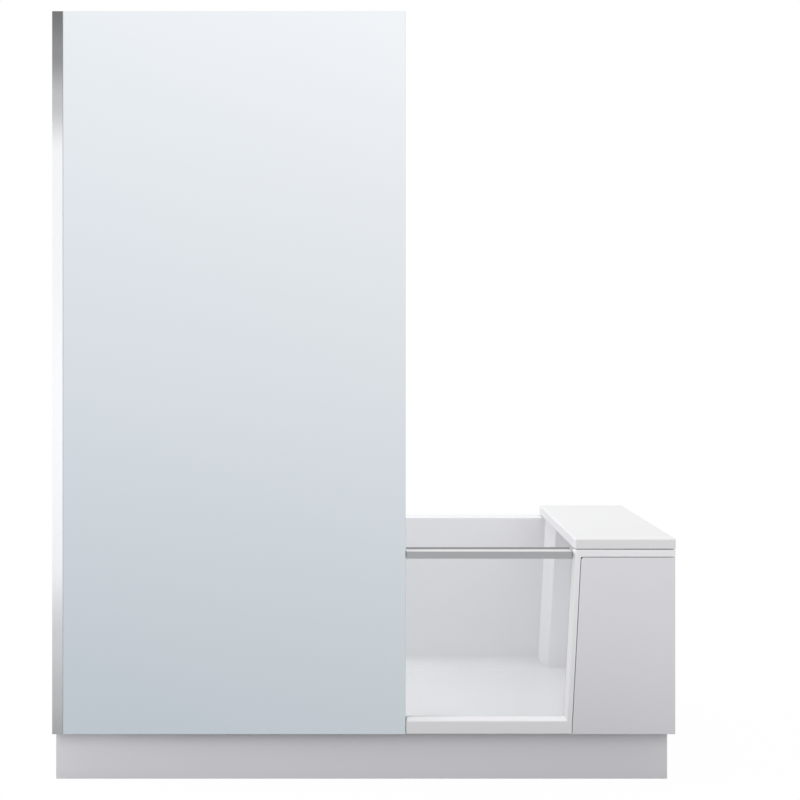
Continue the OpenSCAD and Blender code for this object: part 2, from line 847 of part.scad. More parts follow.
module rail_end_caps() {
    plug_l = 8;
    color("gray") {
        end_cap(door_l, rail_x0, rail_x0 - over, rail_x0 + plug_l);
        difference() {
            end_cap(rail_x1, cap_x1, rail_x1 - plug_l, rail_x1 + over);
            rod_x(rail_x1 - plug_l - over, cap_x1 + over, bolt_y, bolt_z, bolt_r + run);
        }
    }
}

module bolt_guide() {
    color("gray") difference() {
        block([guide_x, chamber_y0, rail_z0 + rail_t], [guide_x + 10, rail_y1 - rail_t, rail_z1 - rail_t]);
        rod_x(guide_x - over, guide_x + 10 + over, bolt_y, bolt_z, bolt_r + run);
    }
}

module latch_bolt() {
    slot_x = pivot_x - crank_r * sin(45);
    slot_w = 2 * (crank_pin_r + slot_gap);
    y0 = chamber_y0 + 1;
    y1 = rail_y1 - rail_t - crank_t - 1.5;
    color("silver") difference() {
        union() {
            rod_x(bolt_tip - bolt_l, bolt_tip, bolt_y, bolt_z, bolt_r);
            block([slot_x - yoke_w / 2, y0, rail_z0 + rail_t + 0.8], [slot_x + yoke_w / 2, y1, bolt_z + bolt_r]);
        }
        block([slot_x - slot_w / 2, y0 - over, rail_z0], [slot_x + slot_w / 2, y1 + over, bolt_z - 1.6]);
    }
}

module latch_lever() {
    y0 = rail_y1 + touch;
    y1 = y0 + 5;
    h = rail_h * 0.55;
    color("silver") union() {
        rod_y(y0, y1, pivot_x, bolt_z, h / 2);
        block([pivot_x - lever_l, y0, bolt_z - h / 2], [pivot_x, y1, bolt_z + h / 2]);
        rod_y(y0, y1 + 6, pivot_x - lever_l + 8, bolt_z, h / 2);
        rod_y(rail_y1 - rail_t - touch, y0 + over, pivot_x, bolt_z, pin_r);
    }
}

// Crank on the lever's spindle; its pin moves the bolt
module latch_crank() {
    y1 = rail_y1 - rail_t - touch;
    off = crank_r * sin(45);
    color("gray") union() {
        rod_y(y1 - crank_t, y1, pivot_x, bolt_z, crank_r + crank_pin_r + 0.6);
        rod_y(chamber_y0 + 2, y1 - crank_t + touch, pivot_x - off, bolt_z - off, crank_pin_r);
    }
}

module latch_strike() {
    color("silver") difference() {
        block([strike_x0, bolt_y - strike_w / 2, bolt_z - strike_h / 2],
              [strike_x1, bolt_y + strike_w / 2, bolt_z + strike_h / 2]);
        rod_x(strike_x0 - over, strike_x1 + over, bolt_y, bolt_z, bolt_r + 0.5);
    }
}

// ---------- waste and overflow ----------

module waste_flange() {
    color("silver") difference() {
        union() {
            rod_z(floor_z, floor_z + flange_t, drain_x, 0, flange_r);
            rod_z(floor_z - neck_l, floor_z + over, drain_x, 0, drain_r - touch);
        }
        rod_z(floor_z - neck_l - over, floor_z + flange_t + over, drain_x, 0, drain_r - neck_t);
        translate([drain_x, 0, floor_z + flange_t - 2]) cylinder(h = 2 + run, r1 = drain_r - neck_t, r2 = drain_r + 4);
    }
}

module flange_seal() {
    color("dimgray") difference() {
        rod_z(board_z1 - seal_t, board_z1, drain_x, 0, flange_r - 1);
        rod_z(board_z1 - seal_t - over, board_z1 + over, drain_x, 0, drain_r);
    }
}

module waste_body() {
    top = board_z1 - seal_t;
    low = top - body_flange_t;
    dip_r = 15;
    color("gray") difference() {
        union() {
            rod_z(low, top, drain_x, 0, flange_r - 1);
            rod_z(barrel_z0, top, drain_x, 0, barrel_r);
            rod_z(barrel_z0, barrel_z0 + 6, drain_x, 0, cup_r);
            rod_z(cup_z0 + 18, barrel_z0 + over, drain_x, 0, dip_r);
            rod_y(0, barrel_r - 2, cable_x, cable_z, cable_r + 2);
            rod_y(0, barrel_r + 6, drain_x, over_low, over_r + 2);
        }
        rod_z(barrel_z0 + 4, top + over, drain_x, 0, drain_r + 0.2);
        rod_z(cup_z0, barrel_z0 + 5, drain_x, 0, dip_r - 2.5);
        rod_y(0, barrel_r + 7, drain_x, over_low, over_r - 2.5);
    }
}

module trap_cup() {
    color("lightgray") difference() {
        union() {
            rod_z(cup_z0, barrel_z0, drain_x, 0, cup_r);
            rod_y(0, cup_r + 12, drain_x, pipe_z, pipe_r + 4);
        }
        rod_z(cup_z0 + 3, barrel_z0 + over, drain_x, 0, cup_r - 3);
        rod_y(0, cup_r + 13, drain_x, pipe_z, pipe_r + run);
    }
}

module waste_pipe() {
    y0 = cup_r + 1;
    color("lightgray") difference() {
        union() {
            rod_y(y0, pipe_end, drain_x, pipe_z, pipe_r);
            rod_y(pipe_end - spigot_l - collar_t, pipe_end - spigot_l, drain_x, pipe_z, pipe_r + 3);
        }
        rod_y(y0 - over, pipe_end + over, drain_x, pipe_z, pipe_r - 2.6);
    }
}

module overflow_body() {
    wall = back_in + skin_t;
    color("gray") difference() {
        union() {
            rod_y(wall, wall + 5, drain_x, over_z, over_cup + 6);
            rod_y(wall, over_cup_y1, drain_x, over_z, over_cup);
            rod_z(over_z - over_cup - 6, over_z, drain_x, over_y, over_r + 2);
            rod_z(over_z - over_cup + 2, over_z, cable_x, cable_y, cable_r + 2);
        }
        rod_y(wall - over, over_cup_y1 - 12, drain_x, over_z, over_cup - 4);
        rod_z(over_z - over_cup - 7, over_z, drain_x, over_y, over_r - 2.5);
        rod_y(wall, over_cup_y1 + over, drain_x, over_z, spindle_r + run);
    }
}

// Pipe that drops behind the basin and runs forward under it
module drop_pipe(x, y, top, low, end, r, bend_r) {
    rod_z(low + bend_r, top, x, y, r);
    translate([x, y - bend_r, low + bend_r]) rotate([90, 0, 90]) rotate([0, 0, -90])
        rotate_extrude(angle = 90) translate([bend_r, 0]) circle(r);
    rod_y(end, y - bend_r, x, low, r);
}

module overflow_pipe() {
    top = over_z - over_cup - 6;
    end = barrel_r + 6;
    color("lightgray") difference() {
        drop_pipe(drain_x, over_y, top, over_low, end, over_r, over_bend);
        drop_pipe(drain_x, over_y, top + over, over_low, end - over, over_r - 2.5, over_bend);
    }
}

module bowden_cable() {
    color("dimgray") drop_pipe(cable_x, cable_y, over_z - over_cup + 2, cable_z,
                               barrel_r - 2, cable_r, cable_bend);
}

module overflow_knob() {
    y1 = back_in - 1.5;
    color("silver") union() {
        rod_y(y1 - knob_t, y1, drain_x, over_z, knob_r);
        for (s = [-1, 1]) block([drain_x - 5, y1 - knob_t - 3, over_z - 4 + s * (knob_r - 10)],
                                [drain_x + 5, y1 - knob_t + over, over_z + 4 + s * (knob_r - 10)]);
    }
}

module knob_spindle() {
    y0 = back_in - 1.5;
    color("gray") union() {
        rod_y(y0, over_cup_y1 - 2, drain_x, over_z, spindle_r);
        rod_y(back_in + skin_t + 14, back_in + skin_t + 30, drain_x, over_z, drum_r);
    }
}

module drain_plug() {
    z0 = floor_z + flange_t - 1;
    color("silver") union() {
        rod_z(z0 + touch, z0 + touch + plug_t, drain_x, 0, drain_r - neck_t - 1);
        rod_z(floor_z - neck_l - 14, z0 + over, drain_x, 0, 4);
    }
}

module plug_seal() {
    z0 = floor_z + flange_t - 1 + touch;
    color("dimgray") difference() {
        rod_z(z0 - 3, z0, drain_x, 0, drain_r - neck_t - 0.5);
        rod_z(z0 - 4, z0 + over, drain_x, 0, 4 + run);
    }
}

tub_shell();
base_board();
frame_rails();
cross_members();
frame_uprights();
foot_bolts();
foot_pads();
foot_nuts();
plinth_front();
plinth_side();
plinth_clips();
side_panel();
panel_brackets();
panel_magnets();
tall_glass();
wall_profile();
profile_cover();
profile_cap();
glass_edge_seal();
glass_clamps();
glass_brackets();
door_post();
post_screws();
hinge_brackets();
hinge_pins();
door_gasket();
latch_strike();
peg_bushes();
waste_flange();
flange_seal();
waste_body();
trap_cup();
waste_pipe();
overflow_body();
overflow_pipe();
bowden_cable();
door_glass();
door_stile();
door_rail();
rail_end_caps();
bolt_guide();
latch_lever();
latch_crank();
latch_bolt();
cover_slab();
cover_pegs();
cover_pads();
front_panel();
panel_keepers();
overflow_knob();
knob_spindle();
drain_plug();
plug_seal();
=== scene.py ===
import json
import math
import bpy
import bmesh
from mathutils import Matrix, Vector


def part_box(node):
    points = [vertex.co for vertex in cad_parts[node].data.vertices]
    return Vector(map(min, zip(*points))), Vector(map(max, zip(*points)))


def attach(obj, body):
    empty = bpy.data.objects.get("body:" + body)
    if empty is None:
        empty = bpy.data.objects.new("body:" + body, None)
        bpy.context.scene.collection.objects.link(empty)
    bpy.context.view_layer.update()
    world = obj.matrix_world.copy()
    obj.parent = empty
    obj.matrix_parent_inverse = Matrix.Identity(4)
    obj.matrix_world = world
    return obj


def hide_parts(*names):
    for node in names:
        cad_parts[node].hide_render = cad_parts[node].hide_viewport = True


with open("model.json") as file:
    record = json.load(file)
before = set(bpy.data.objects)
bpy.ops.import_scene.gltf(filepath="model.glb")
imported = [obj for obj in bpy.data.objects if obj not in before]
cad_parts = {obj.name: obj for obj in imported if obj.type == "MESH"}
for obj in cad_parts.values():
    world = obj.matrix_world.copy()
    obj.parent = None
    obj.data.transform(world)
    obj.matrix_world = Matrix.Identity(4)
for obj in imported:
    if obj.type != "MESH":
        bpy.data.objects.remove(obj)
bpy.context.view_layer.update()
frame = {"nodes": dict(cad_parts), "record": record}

nodes = frame["nodes"]
record = frame["record"]
bodyOf = {n: b for b, names in record["behaviour"]["bodies"].items() for n in names}
slotOf = {p["node"]: p["material_slot"] for p in record["subparts"]}
scene = bpy.context.scene


def setSocket(tree, socket, value):
    # a link from another socket, or a plain value
    if isinstance(value, bpy.types.NodeSocket):
        tree.links.new(value, socket)
    else:
        socket.default_value = value


def setInputs(tree, node, **values):
    # inputs by their names, with _ for a space; other names are the node's own properties
    for key, value in values.items():
        label = key.replace("_", " ")
        if label in node.inputs:
            setSocket(tree, node.inputs[label], value)
        else:
            setattr(node, key, value)
    return node


def addNode(tree, kind, **values):
    return setInputs(tree, tree.nodes.new("ShaderNode" + kind), **values)


def mathNode(tree, operation, *values, clamp=False):
    node = addNode(tree, "Math", operation=operation, use_clamp=clamp)
    for socket, value in zip(node.inputs, values):
        setSocket(tree, socket, value)
    return node.outputs[0]


def vectorNode(tree, operation, *values):
    node = addNode(tree, "VectorMath", operation=operation)
    for socket, value in zip(node.inputs, values):
        setSocket(tree, socket, value)
    return node.outputs["Value" if operation in ("DOT_PRODUCT", "LENGTH") else "Vector"]


def weighted(tree, a, shareA, b, shareB, clamp=False):
    return mathNode(tree, "ADD", mathNode(tree, "MULTIPLY", a, shareA),
                    mathNode(tree, "MULTIPLY", b, shareB), clamp=clamp)


def mapRange(tree, value, to=(0.0, 1.0), start=(0.0, 1.0)):
    return addNode(tree, "MapRange", Value=value, From_Min=start[0], From_Max=start[1],
                   To_Min=to[0], To_Max=to[1]).outputs[0]


def mixColor(tree, factor, low, high, blend="MIX"):
    node = addNode(tree, "Mix", data_type="RGBA", blend_type=blend)
    for index, value in ((0, factor), (6, low), (7, high)):
        setSocket(tree, node.inputs[index], (*value, 1.0) if isinstance(value, tuple) else value)
    return node.outputs[2]


def mixShader(tree, factor, first, second):
    node = addNode(tree, "MixShader")
    for socket, source in zip(node.inputs, (factor, first, second)):
        tree.links.new(source, socket)
    return node.outputs[0]


def objectPoint(tree):
    return addNode(tree, "TexCoord").outputs["Object"]


def noiseOf(tree, scale, detail, rough=0.5, point=None, **more):
    return addNode(tree, "TexNoise", Vector=point or objectPoint(tree), Scale=scale, Detail=detail,
                   Roughness=rough, **more).outputs["Fac"]


def cellsOf(tree, point, size):
    cells = addNode(tree, "TexVoronoi", feature="F1", Vector=point, Scale=size)
    split = addNode(tree, "SeparateColor", Color=cells.outputs["Color"])
    return split.outputs, cells.outputs["Distance"]


def newGroup(name, inputs, outputs):
    group = bpy.data.node_groups.new(name, "ShaderNodeTree")
    for label, value in inputs.items():
        kind = "NodeSocketVector" if isinstance(value, tuple) else "NodeSocketFloat"
        socket = group.interface.new_socket(name=label, in_out="INPUT", socket_type=kind)
        socket.default_value = value
    for label in outputs:
        group.interface.new_socket(name=label, in_out="OUTPUT", socket_type="NodeSocketFloat")
    return group, group.nodes.new("NodeGroupInput").outputs


def closeGroup(group, **results):
    out = group.nodes.new("NodeGroupOutput")
    for label, result in results.items():
        group.links.new(result, out.inputs[label])
    return group


def buildGelSurface():
    # moulded or sprayed gloss: slow waviness, fine orange peel, faint dust
    tree, given = newGroup("gelSurface", {"Wave Size": 3.0, "Peel Size": 220.0, "Dust": 0.3},
                           ("Height", "Smudge", "Dust"))
    wave = noiseOf(tree, given["Wave Size"], 2.0, 0.45)
    peel = noiseOf(tree, given["Peel Size"], 3.0)
    specks = mathNode(tree, "GREATER_THAN", noiseOf(tree, 900.0, 1.0), 0.66)
    return closeGroup(tree, Height=weighted(tree, wave, 0.7, peel, 0.3),
                      Smudge=weighted(tree, wave, 0.6, peel, 0.4, clamp=True),
                      Dust=mathNode(tree, "MULTIPLY", specks, given["Dust"]))


def buildEdgeShine():
    # picks out rounded edges, where handling polishes or rubs the surface
    tree, given = newGroup("edgeShine", {"Width": 0.002, "Amount": 0.5}, ("Mask",))
    bevel = addNode(tree, "Bevel", samples=4, Radius=given["Width"])
    plain = addNode(tree, "NewGeometry").outputs["Normal"]
    flat = vectorNode(tree, "DOT_PRODUCT", bevel.outputs["Normal"], plain)
    edge = mathNode(tree, "MULTIPLY", mathNode(tree, "SUBTRACT", 1.0, flat, clamp=True), 6.0, clamp=True)
    return closeGroup(tree, Mask=mathNode(tree, "MULTIPLY", edge, given["Amount"]))


def buildDrawnLines():
    # fine lines along one direction, left by extrusion or brushing
    tree, given = newGroup("drawnLines", {"Along": (1.0, 1.0, 1.0), "Size": 600.0}, ("Height", "Streak"))
    stretched = vectorNode(tree, "MULTIPLY", objectPoint(tree), given["Along"])
    fine = noiseOf(tree, given["Size"], 2.0, 0.6, stretched)
    wide = noiseOf(tree, 40.0, 1.0, point=stretched)
    return closeGroup(tree, Height=fine, Streak=weighted(tree, fine, 0.6, wide, 0.4, clamp=True))


def buildCrystalBloom():
    # spangle of zinc coating
    tree, given = newGroup("crystalBloom", {"Size": 90.0}, ("Tone", "Height"))
    tones, height = cellsOf(tree, objectPoint(tree), given["Size"])
    return closeGroup(tree, Tone=tones[0], Height=height)


def buildPressedChips():
    # pressed wood chips of the base board
    tree, given = newGroup("pressedChips", {"Size": 160.0}, ("Tone", "Height"))
    warp = addNode(tree, "TexNoise", Vector=objectPoint(tree), Scale=30.0, Detail=2.0)
    bent = vectorNode(tree, "MULTIPLY_ADD", warp.outputs["Color"], (0.02, 0.02, 0.02), objectPoint(tree))
    tones, height = cellsOf(tree, bent, given["Size"])
    return closeGroup(tree, Tone=tones[1], Height=height)


def buildStrandMat():
    # chopped strands lying in three directions under resin
    tree, given = newGroup("strandMat", {"Size": 36.0}, ("Tone", "Height"))
    layers = []
    for turn in ((0.0, 0.0, 0.4), (0.9, 0.2, 1.5), (0.3, 1.1, 2.6)):
        laid = addNode(tree, "Mapping", Vector=objectPoint(tree), Rotation=turn, Scale=(1.0, 7.0, 7.0))
        layers.append(noiseOf(tree, given["Size"], 2.0, 0.6, laid.outputs["Vector"], Distortion=0.4))
    height = mathNode(tree, "MAXIMUM", mathNode(tree, "MAXIMUM", layers[0], layers[1]), layers[2])
    return closeGroup(tree, Tone=mapRange(tree, height, start=(0.42, 0.72)), Height=height)


strandMat = buildStrandMat()
gelSurface = buildGelSurface()
edgeShine = buildEdgeShine()
drawnLines = buildDrawnLines()
crystalBloom = buildCrystalBloom()
pressedChips = buildPressedChips()
print("groups built")


def startMaterial(name):
    mat = bpy.data.materials.new(name)
    mat.use_nodes = True
    tree = mat.node_tree
    tree.nodes.clear()
    out = addNode(tree, "OutputMaterial")
    shader = addNode(tree, "BsdfPrincipled")
    tree.links.new(shader.outputs[0], out.inputs["Surface"])
    return mat, tree, shader, out


def useGroup(tree, group, **values):
    return addNode(tree, "Group", node_tree=group, **values).outputs


def dressSurface(tree, shader, cfg, tone, sheen, height, tint=None):
    # colour, roughness and bump, each between the finish's two values
    if tone is not None:
        color = mixColor(tree, tone, cfg["shade"], cfg["color"])
        if tint is not None:
            color = mixColor(tree, 1.0, color, tint, "MULTIPLY")
        tree.links.new(color, shader.inputs["Base Color"])
    bump = addNode(tree, "Bump", Distance=cfg["bump"], Strength=1.0, Height=height)
    setInputs(tree, shader, Roughness=mapRange(tree, sheen, cfg["rough"]), Normal=bump.outputs["Normal"])


def glossMaterial(name, cfg):
    cfg = {**dict(wave=8.0, dust=0.3, edge=0.001, edgeAmount=0.5, coat=0.0, sub=0.0), **cfg}
    mat, tree, shader = startMaterial(name)[:3]
    gel = useGroup(tree, gelSurface, Wave_Size=cfg["wave"], Peel_Size=cfg["peel"], Dust=cfg["dust"])
    edge = useGroup(tree, edgeShine, Width=cfg["edge"], Amount=cfg["edgeAmount"])
    tone = mathNode(tree, "ADD", gel["Smudge"], edge["Mask"], clamp=True)
    tone = mathNode(tree, "SUBTRACT", tone, gel["Dust"], clamp=True)
    dressSurface(tree, shader, cfg, tone, gel["Smudge"], gel["Height"])
    setInputs(tree, shader, IOR=1.49, Coat_Weight=cfg["coat"], Coat_Roughness=0.06,
              Subsurface_Weight=cfg["sub"])
    return mat


def metalMaterial(name, cfg):
    cfg = {**dict(edge=0.001, metal=1.0), **cfg}
    mat, tree, shader = startMaterial(name)[:3]
    lines = useGroup(tree, drawnLines, Along=cfg["along"], Size=cfg["size"])
    edge = useGroup(tree, edgeShine, Width=cfg["edge"], Amount=0.6)
    tone = mathNode(tree, "ADD", lines["Streak"], edge["Mask"], clamp=True)
    dressSurface(tree, shader, cfg, tone, lines["Streak"], lines["Height"])
    setInputs(tree, shader, Metallic=cfg["metal"])
    return mat


def zincMaterial(name, cfg):
    mat, tree, shader = startMaterial(name)[:3]
    bloom = useGroup(tree, crystalBloom, Size=cfg["size"])
    gel = useGroup(tree, gelSurface, Wave_Size=4.0, Peel_Size=60.0, Dust=0.4)
    tone = weighted(tree, bloom["Tone"], 0.6, gel["Smudge"], 0.4)
    dressSurface(tree, shader, cfg, tone, tone, bloom["Height"])
    setInputs(tree, shader, Metallic=1.0)
    return mat


def paintedReflectionStrip(name, cfg):
    # satin strip with a painted reflection: its colour darkens towards its two ends and is lighter in
    # between
    mat, tree, shader = startMaterial(name)[:3]
    lines = useGroup(tree, drawnLines, Along=cfg["along"], Size=cfg["size"])
    height = addNode(tree, "SeparateXYZ", Vector=objectPoint(tree)).outputs["Z"]
    # painted reflection: tone stops along the strip's height
    paintedReflectionRamp = addNode(tree, "ValToRGB", Fac=mapRange(tree, height, start=cfg["ends"]))
    paintedReflectionRamp.color_ramp.interpolation = "EASE"
    stops = paintedReflectionRamp.color_ramp.elements
    for index, (place, tone) in enumerate(cfg["tones"]):
        stop = stops[index] if index < 2 else stops.new(place)
        stop.position = place
        stop.color = (tone, tone, tone * 1.01, 1.0)
    dressSurface(tree, shader, cfg, lines["Streak"], lines["Streak"], lines["Height"], paintedReflectionRamp.outputs[0])
    setInputs(tree, shader, Metallic=cfg["metal"])
    return mat


def patternMaterial(name, cfg):
    # chips or strands that show in the surface
    mat, tree, shader = startMaterial(name)[:3]
    pattern = useGroup(tree, cfg["pattern"], Size=cfg["size"])
    dressSurface(tree, shader, cfg, pattern["Tone"], pattern["Tone"], pattern["Height"])
    return mat


def clearMaterial(name, cfg):
    # clear sheet: light passes it on its way to what stands behind
    mat, tree, shader, out = startMaterial(name)
    gel = useGroup(tree, gelSurface, Wave_Size=2.0, Peel_Size=14.0, Dust=0.0)
    dressSurface(tree, shader, cfg, None, gel["Smudge"], gel["Height"])
    setInputs(tree, shader, Base_Color=(*cfg["color"], 1.0), IOR=cfg["ior"], Transmission_Weight=1.0)
    pane = addNode(tree, "BsdfTransparent", Color=(*cfg["shadow"], 1.0))
    shadowRay = addNode(tree, "LightPath").outputs["Is Shadow Ray"]
    tree.links.new(mixShader(tree, shadowRay, shader.outputs[0], pane.outputs[0]), out.inputs["Surface"])
    return mat


def mirrorMaterial(name, cfg):
    # reflective coat on glass: soft tint, with a reflection painted into its colour as slanted bands and a
    # side painted lighter
    mat, tree, shader = startMaterial(name)[:3]
    # painted reflection: faint bands along a slant
    slant = vectorNode(tree, "DOT_PRODUCT", objectPoint(tree), cfg["slant"])
    paintedReflectionBands = addNode(tree, "TexNoise", noise_dimensions="1D", W=slant, Scale=cfg["bandSize"], Detail=2.0)
    # painted reflection: the colour gets lighter along X
    across = addNode(tree, "SeparateXYZ", Vector=objectPoint(tree)).outputs["X"]
    across = mapRange(tree, across, start=cfg["across"])
    tone = weighted(tree, paintedReflectionBands.outputs["Fac"], 0.4, across, 0.6, clamp=True)
    gel = useGroup(tree, gelSurface, Wave_Size=1.5, Peel_Size=90.0, Dust=0.0)
    dressSurface(tree, shader, cfg, tone, gel["Smudge"], gel["Height"])
    setInputs(tree, shader, Metallic=cfg["metal"], Coat_Weight=cfg["coat"], Coat_Roughness=0.02)
    return mat


drawnX, drawnZ = (0.03, 60.0, 60.0), (60.0, 60.0, 0.3)  # fine lines along X and along Z

# color and shade are the two ends of a finish's tone, rough the two ends of its roughness
finishes = {
    "tub_plastic": (glossMaterial, dict(
        color=(0.845, 0.842, 0.858), shade=(0.82, 0.817, 0.834), rough=(0.12, 0.22), wave=2.2, peel=180.0,
        bump=0.00015, dust=0.25, edge=0.003, coat=0.4)),
    "panel_white": (glossMaterial, dict(
        color=(0.76, 0.752, 0.782), shade=(0.735, 0.727, 0.757), rough=(0.26, 0.38), wave=1.6, peel=260.0,
        bump=0.0001, edge=0.002)),
    "cover_white": (glossMaterial, dict(
        color=(0.755, 0.753, 0.76), shade=(0.73, 0.728, 0.735), rough=(0.26, 0.38), wave=2.0, peel=300.0,
        bump=0.00012, dust=0.25, edge=0.004)),
    "plinth_board": (glossMaterial, dict(
        color=(0.825, 0.818, 0.852), shade=(0.805, 0.798, 0.832), rough=(0.34, 0.46), wave=1.4, peel=340.0,
        bump=0.0001, dust=0.45, edge=0.0015, edgeAmount=0.4)),
    "dark_plastic": (glossMaterial, dict(
        color=(0.045, 0.045, 0.05), shade=(0.025, 0.025, 0.028), rough=(0.42, 0.58), peel=700.0,
        bump=0.0002)),
    "grey_plastic": (glossMaterial, dict(
        color=(0.34, 0.34, 0.36), shade=(0.29, 0.29, 0.31), rough=(0.34, 0.5), peel=600.0, bump=0.00012)),
    "cap_plastic": (glossMaterial, dict(
        color=(0.46, 0.46, 0.47), shade=(0.42, 0.42, 0.43), rough=(0.34, 0.5), peel=600.0, bump=0.00008,
        dust=0.2)),
    "waste_plastic": (glossMaterial, dict(
        color=(0.78, 0.78, 0.76), shade=(0.70, 0.70, 0.68), rough=(0.3, 0.44), wave=6.0, peel=420.0,
        bump=0.0002, dust=0.5, edge=0.0015, edgeAmount=0.4)),
    "cable_cover": (glossMaterial, dict(
        color=(0.05, 0.05, 0.055), shade=(0.03, 0.03, 0.033), rough=(0.4, 0.55), wave=10.0, peel=900.0,
        bump=0.0002, edgeAmount=0.2)),
    "dark_rubber": (glossMaterial, dict(
        color=(0.03, 0.03, 0.032), shade=(0.018, 0.018, 0.02), rough=(0.55, 0.75), wave=9.0, peel=800.0,
        bump=0.0003, dust=0.5, edgeAmount=0.2)),
    "clear_seal": (glossMaterial, dict(
        color=(0.72, 0.74, 0.76), shade=(0.64, 0.66, 0.68), rough=(0.3, 0.45), wave=6.0, peel=500.0,
        bump=0.0001, dust=0.2, edgeAmount=0.3, sub=0.2)),
    "glass_film": (glossMaterial, dict(
        color=(0.68, 0.72, 0.76), shade=(0.65, 0.69, 0.73), rough=(0.16, 0.24), wave=1.2, peel=160.0,
        bump=0.00005, dust=0.15, edgeAmount=0.1, coat=0.6)),
    "glass_edge": (glossMaterial, dict(
        color=(0.30, 0.45, 0.42), shade=(0.24, 0.38, 0.35), rough=(0.06, 0.12), wave=3.0, peel=300.0,
        bump=0.00003, dust=0.1, edge=0.0006, edgeAmount=0.3, coat=0.8)),
    "magnet": (metalMaterial, dict(
        color=(0.30, 0.30, 0.32), shade=(0.22, 0.22, 0.24), rough=(0.3, 0.45), along=(1.0, 1.0, 1.0),
        size=300.0, bump=0.00005)),
    "fastener_steel": (metalMaterial, dict(
        color=(0.62, 0.62, 0.63), shade=(0.50, 0.50, 0.51), rough=(0.24, 0.4), along=(1.0, 1.0, 40.0),
        size=60.0, bump=0.00004)),
    "hinge_metal": (metalMaterial, dict(
        color=(0.70, 0.70, 0.71), shade=(0.60, 0.60, 0.61), rough=(0.2, 0.32), along=(40.0, 40.0, 1.0),
        size=20.0, bump=0.00003)),
    "satin_aluminium": (metalMaterial, dict(
        color=(0.575, 0.555, 0.555), shade=(0.53, 0.515, 0.515), rough=(0.24, 0.34), along=drawnX,
        size=18.0, bump=0.00002, edge=0.0012)),
    # painted shade: darker copy of the satin aluminium for the rail's lip
    "dark_aluminium": (metalMaterial, dict(
        color=(0.37, 0.365, 0.37), shade=(0.34, 0.335, 0.34), rough=(0.24, 0.34), along=drawnX,
        size=18.0, bump=0.00002, edge=0.0008)),
    # painted highlight: lighter copy of the aluminium for the rail's top
    "cut_aluminium": (metalMaterial, dict(
        color=(0.70, 0.70, 0.71), shade=(0.665, 0.665, 0.675), rough=(0.3, 0.4), along=drawnX,
        size=18.0, bump=0.00001, edge=0.0006, metal=0.0)),
    "bright_aluminium": (metalMaterial, dict(
        color=(0.88, 0.88, 0.89), shade=(0.84, 0.84, 0.85), rough=(0.22, 0.30), along=drawnZ,
        size=18.0, bump=0.00002)),
    "chrome_trim": (metalMaterial, dict(
        color=(0.86, 0.87, 0.88), shade=(0.82, 0.83, 0.84), rough=(0.03, 0.08), along=(1.0, 1.0, 1.0),
        size=40.0, bump=0.00001)),
    "zinc_steel": (zincMaterial, dict(
        color=(0.66, 0.67, 0.70), shade=(0.46, 0.47, 0.50), rough=(0.34, 0.52), size=70.0, bump=0.00008)),
    "board": (patternMaterial, dict(
        color=(0.52, 0.37, 0.22), shade=(0.36, 0.24, 0.13), rough=(0.6, 0.8), pattern=pressedChips,
        size=140.0, bump=0.0006)),
    "moulding_back": (patternMaterial, dict(
        color=(0.70, 0.68, 0.60), shade=(0.56, 0.54, 0.47), rough=(0.42, 0.7), pattern=strandMat, size=36.0,
        bump=0.0012)),
    # the mirror's slant, band size and X range set a reflection painted into its colour
    "mirrored_glass": (mirrorMaterial, dict(
        color=(0.955, 0.975, 1.0), shade=(0.865, 0.905, 0.95), rough=(0.14, 0.20), slant=(0.5, 0.0, 1.0),
        bandSize=2.2, across=(-0.9, 0.2), bump=0.00002, metal=1.0, coat=0.3)),
    "clear_glass": (clearMaterial, dict(
        color=(0.978, 0.986, 0.982), shadow=(0.95, 0.97, 0.97), rough=(0.0, 0.01), ior=1.45, bump=0.00001)),
    # tones are (place, tone) pairs of the painted reflection between the strip's ends; the two end stops
    # come first
    "profile_strip": (paintedReflectionStrip, dict(
        color=(0.97, 0.97, 0.98), shade=(0.93, 0.93, 0.94), rough=(0.22, 0.30), along=drawnZ,
        size=18.0, bump=0.00002, metal=0.25, ends=(0.135, 2.105),
        tones=((0.0, 0.50), (1.0, 0.175), (0.05, 0.60), (0.13, 0.70), (0.24, 0.95), (0.80, 0.96),
               (0.875, 0.55), (0.94, 0.28)))),
}

materials = {slot: make(slot + "_finish", cfg) for slot, (make, cfg) in finishes.items()}
for name, obj in nodes.items():
    for index in range(len(obj.material_slots)):
        obj.material_slots[index].material = materials[slotOf[name]]
print("materials built", len(materials))


# how every CAD form is cleaned: near points merged, faces flatter than flatAngle joined and
# edges sharper than roundFrom rounded in a number of steps
polish = dict(mergeAt=0.00002, flatAngle=0.6, roundFrom=38, steps=3)
upright = (0, 0, 1)


def insideBox(point, box):
    return all(low <= value <= high for value, low, high in zip(point, *box))


def midOf(box):
    return (box[0] + box[1]) / 2


def uprightRound(low, high):
    # foot point, height and radius of an upright round solid
    mid = midOf((low, high))
    return Vector((mid.x, mid.y, low.z)), high.z - low.z, (high.x - low.x) / 2


def islandsOf(node):
    # boxes of a node's separate solids, in order along X, Y and Z
    bm = bmesh.new()
    bm.from_mesh(nodes[node].data)
    bmesh.ops.remove_doubles(bm, verts=bm.verts, dist=polish["mergeAt"])
    boxes, left = [], set(bm.verts)
    while left:
        stack, part = [left.pop()], []
        while stack:
            vert = stack.pop()
            part.append(vert.co.copy())
            for edge in vert.link_edges:
                other = edge.other_vert(vert)
                if other in left:
                    left.remove(other)
                    stack.append(other)
        boxes.append((Vector([min(c[i] for c in part) for i in range(3)]),
                      Vector([max(c[i] for c in part) for i in range(3)])))
    bm.free()
    return sorted(boxes, key=lambda box: tuple(round(v, 4) for v in box[0]))


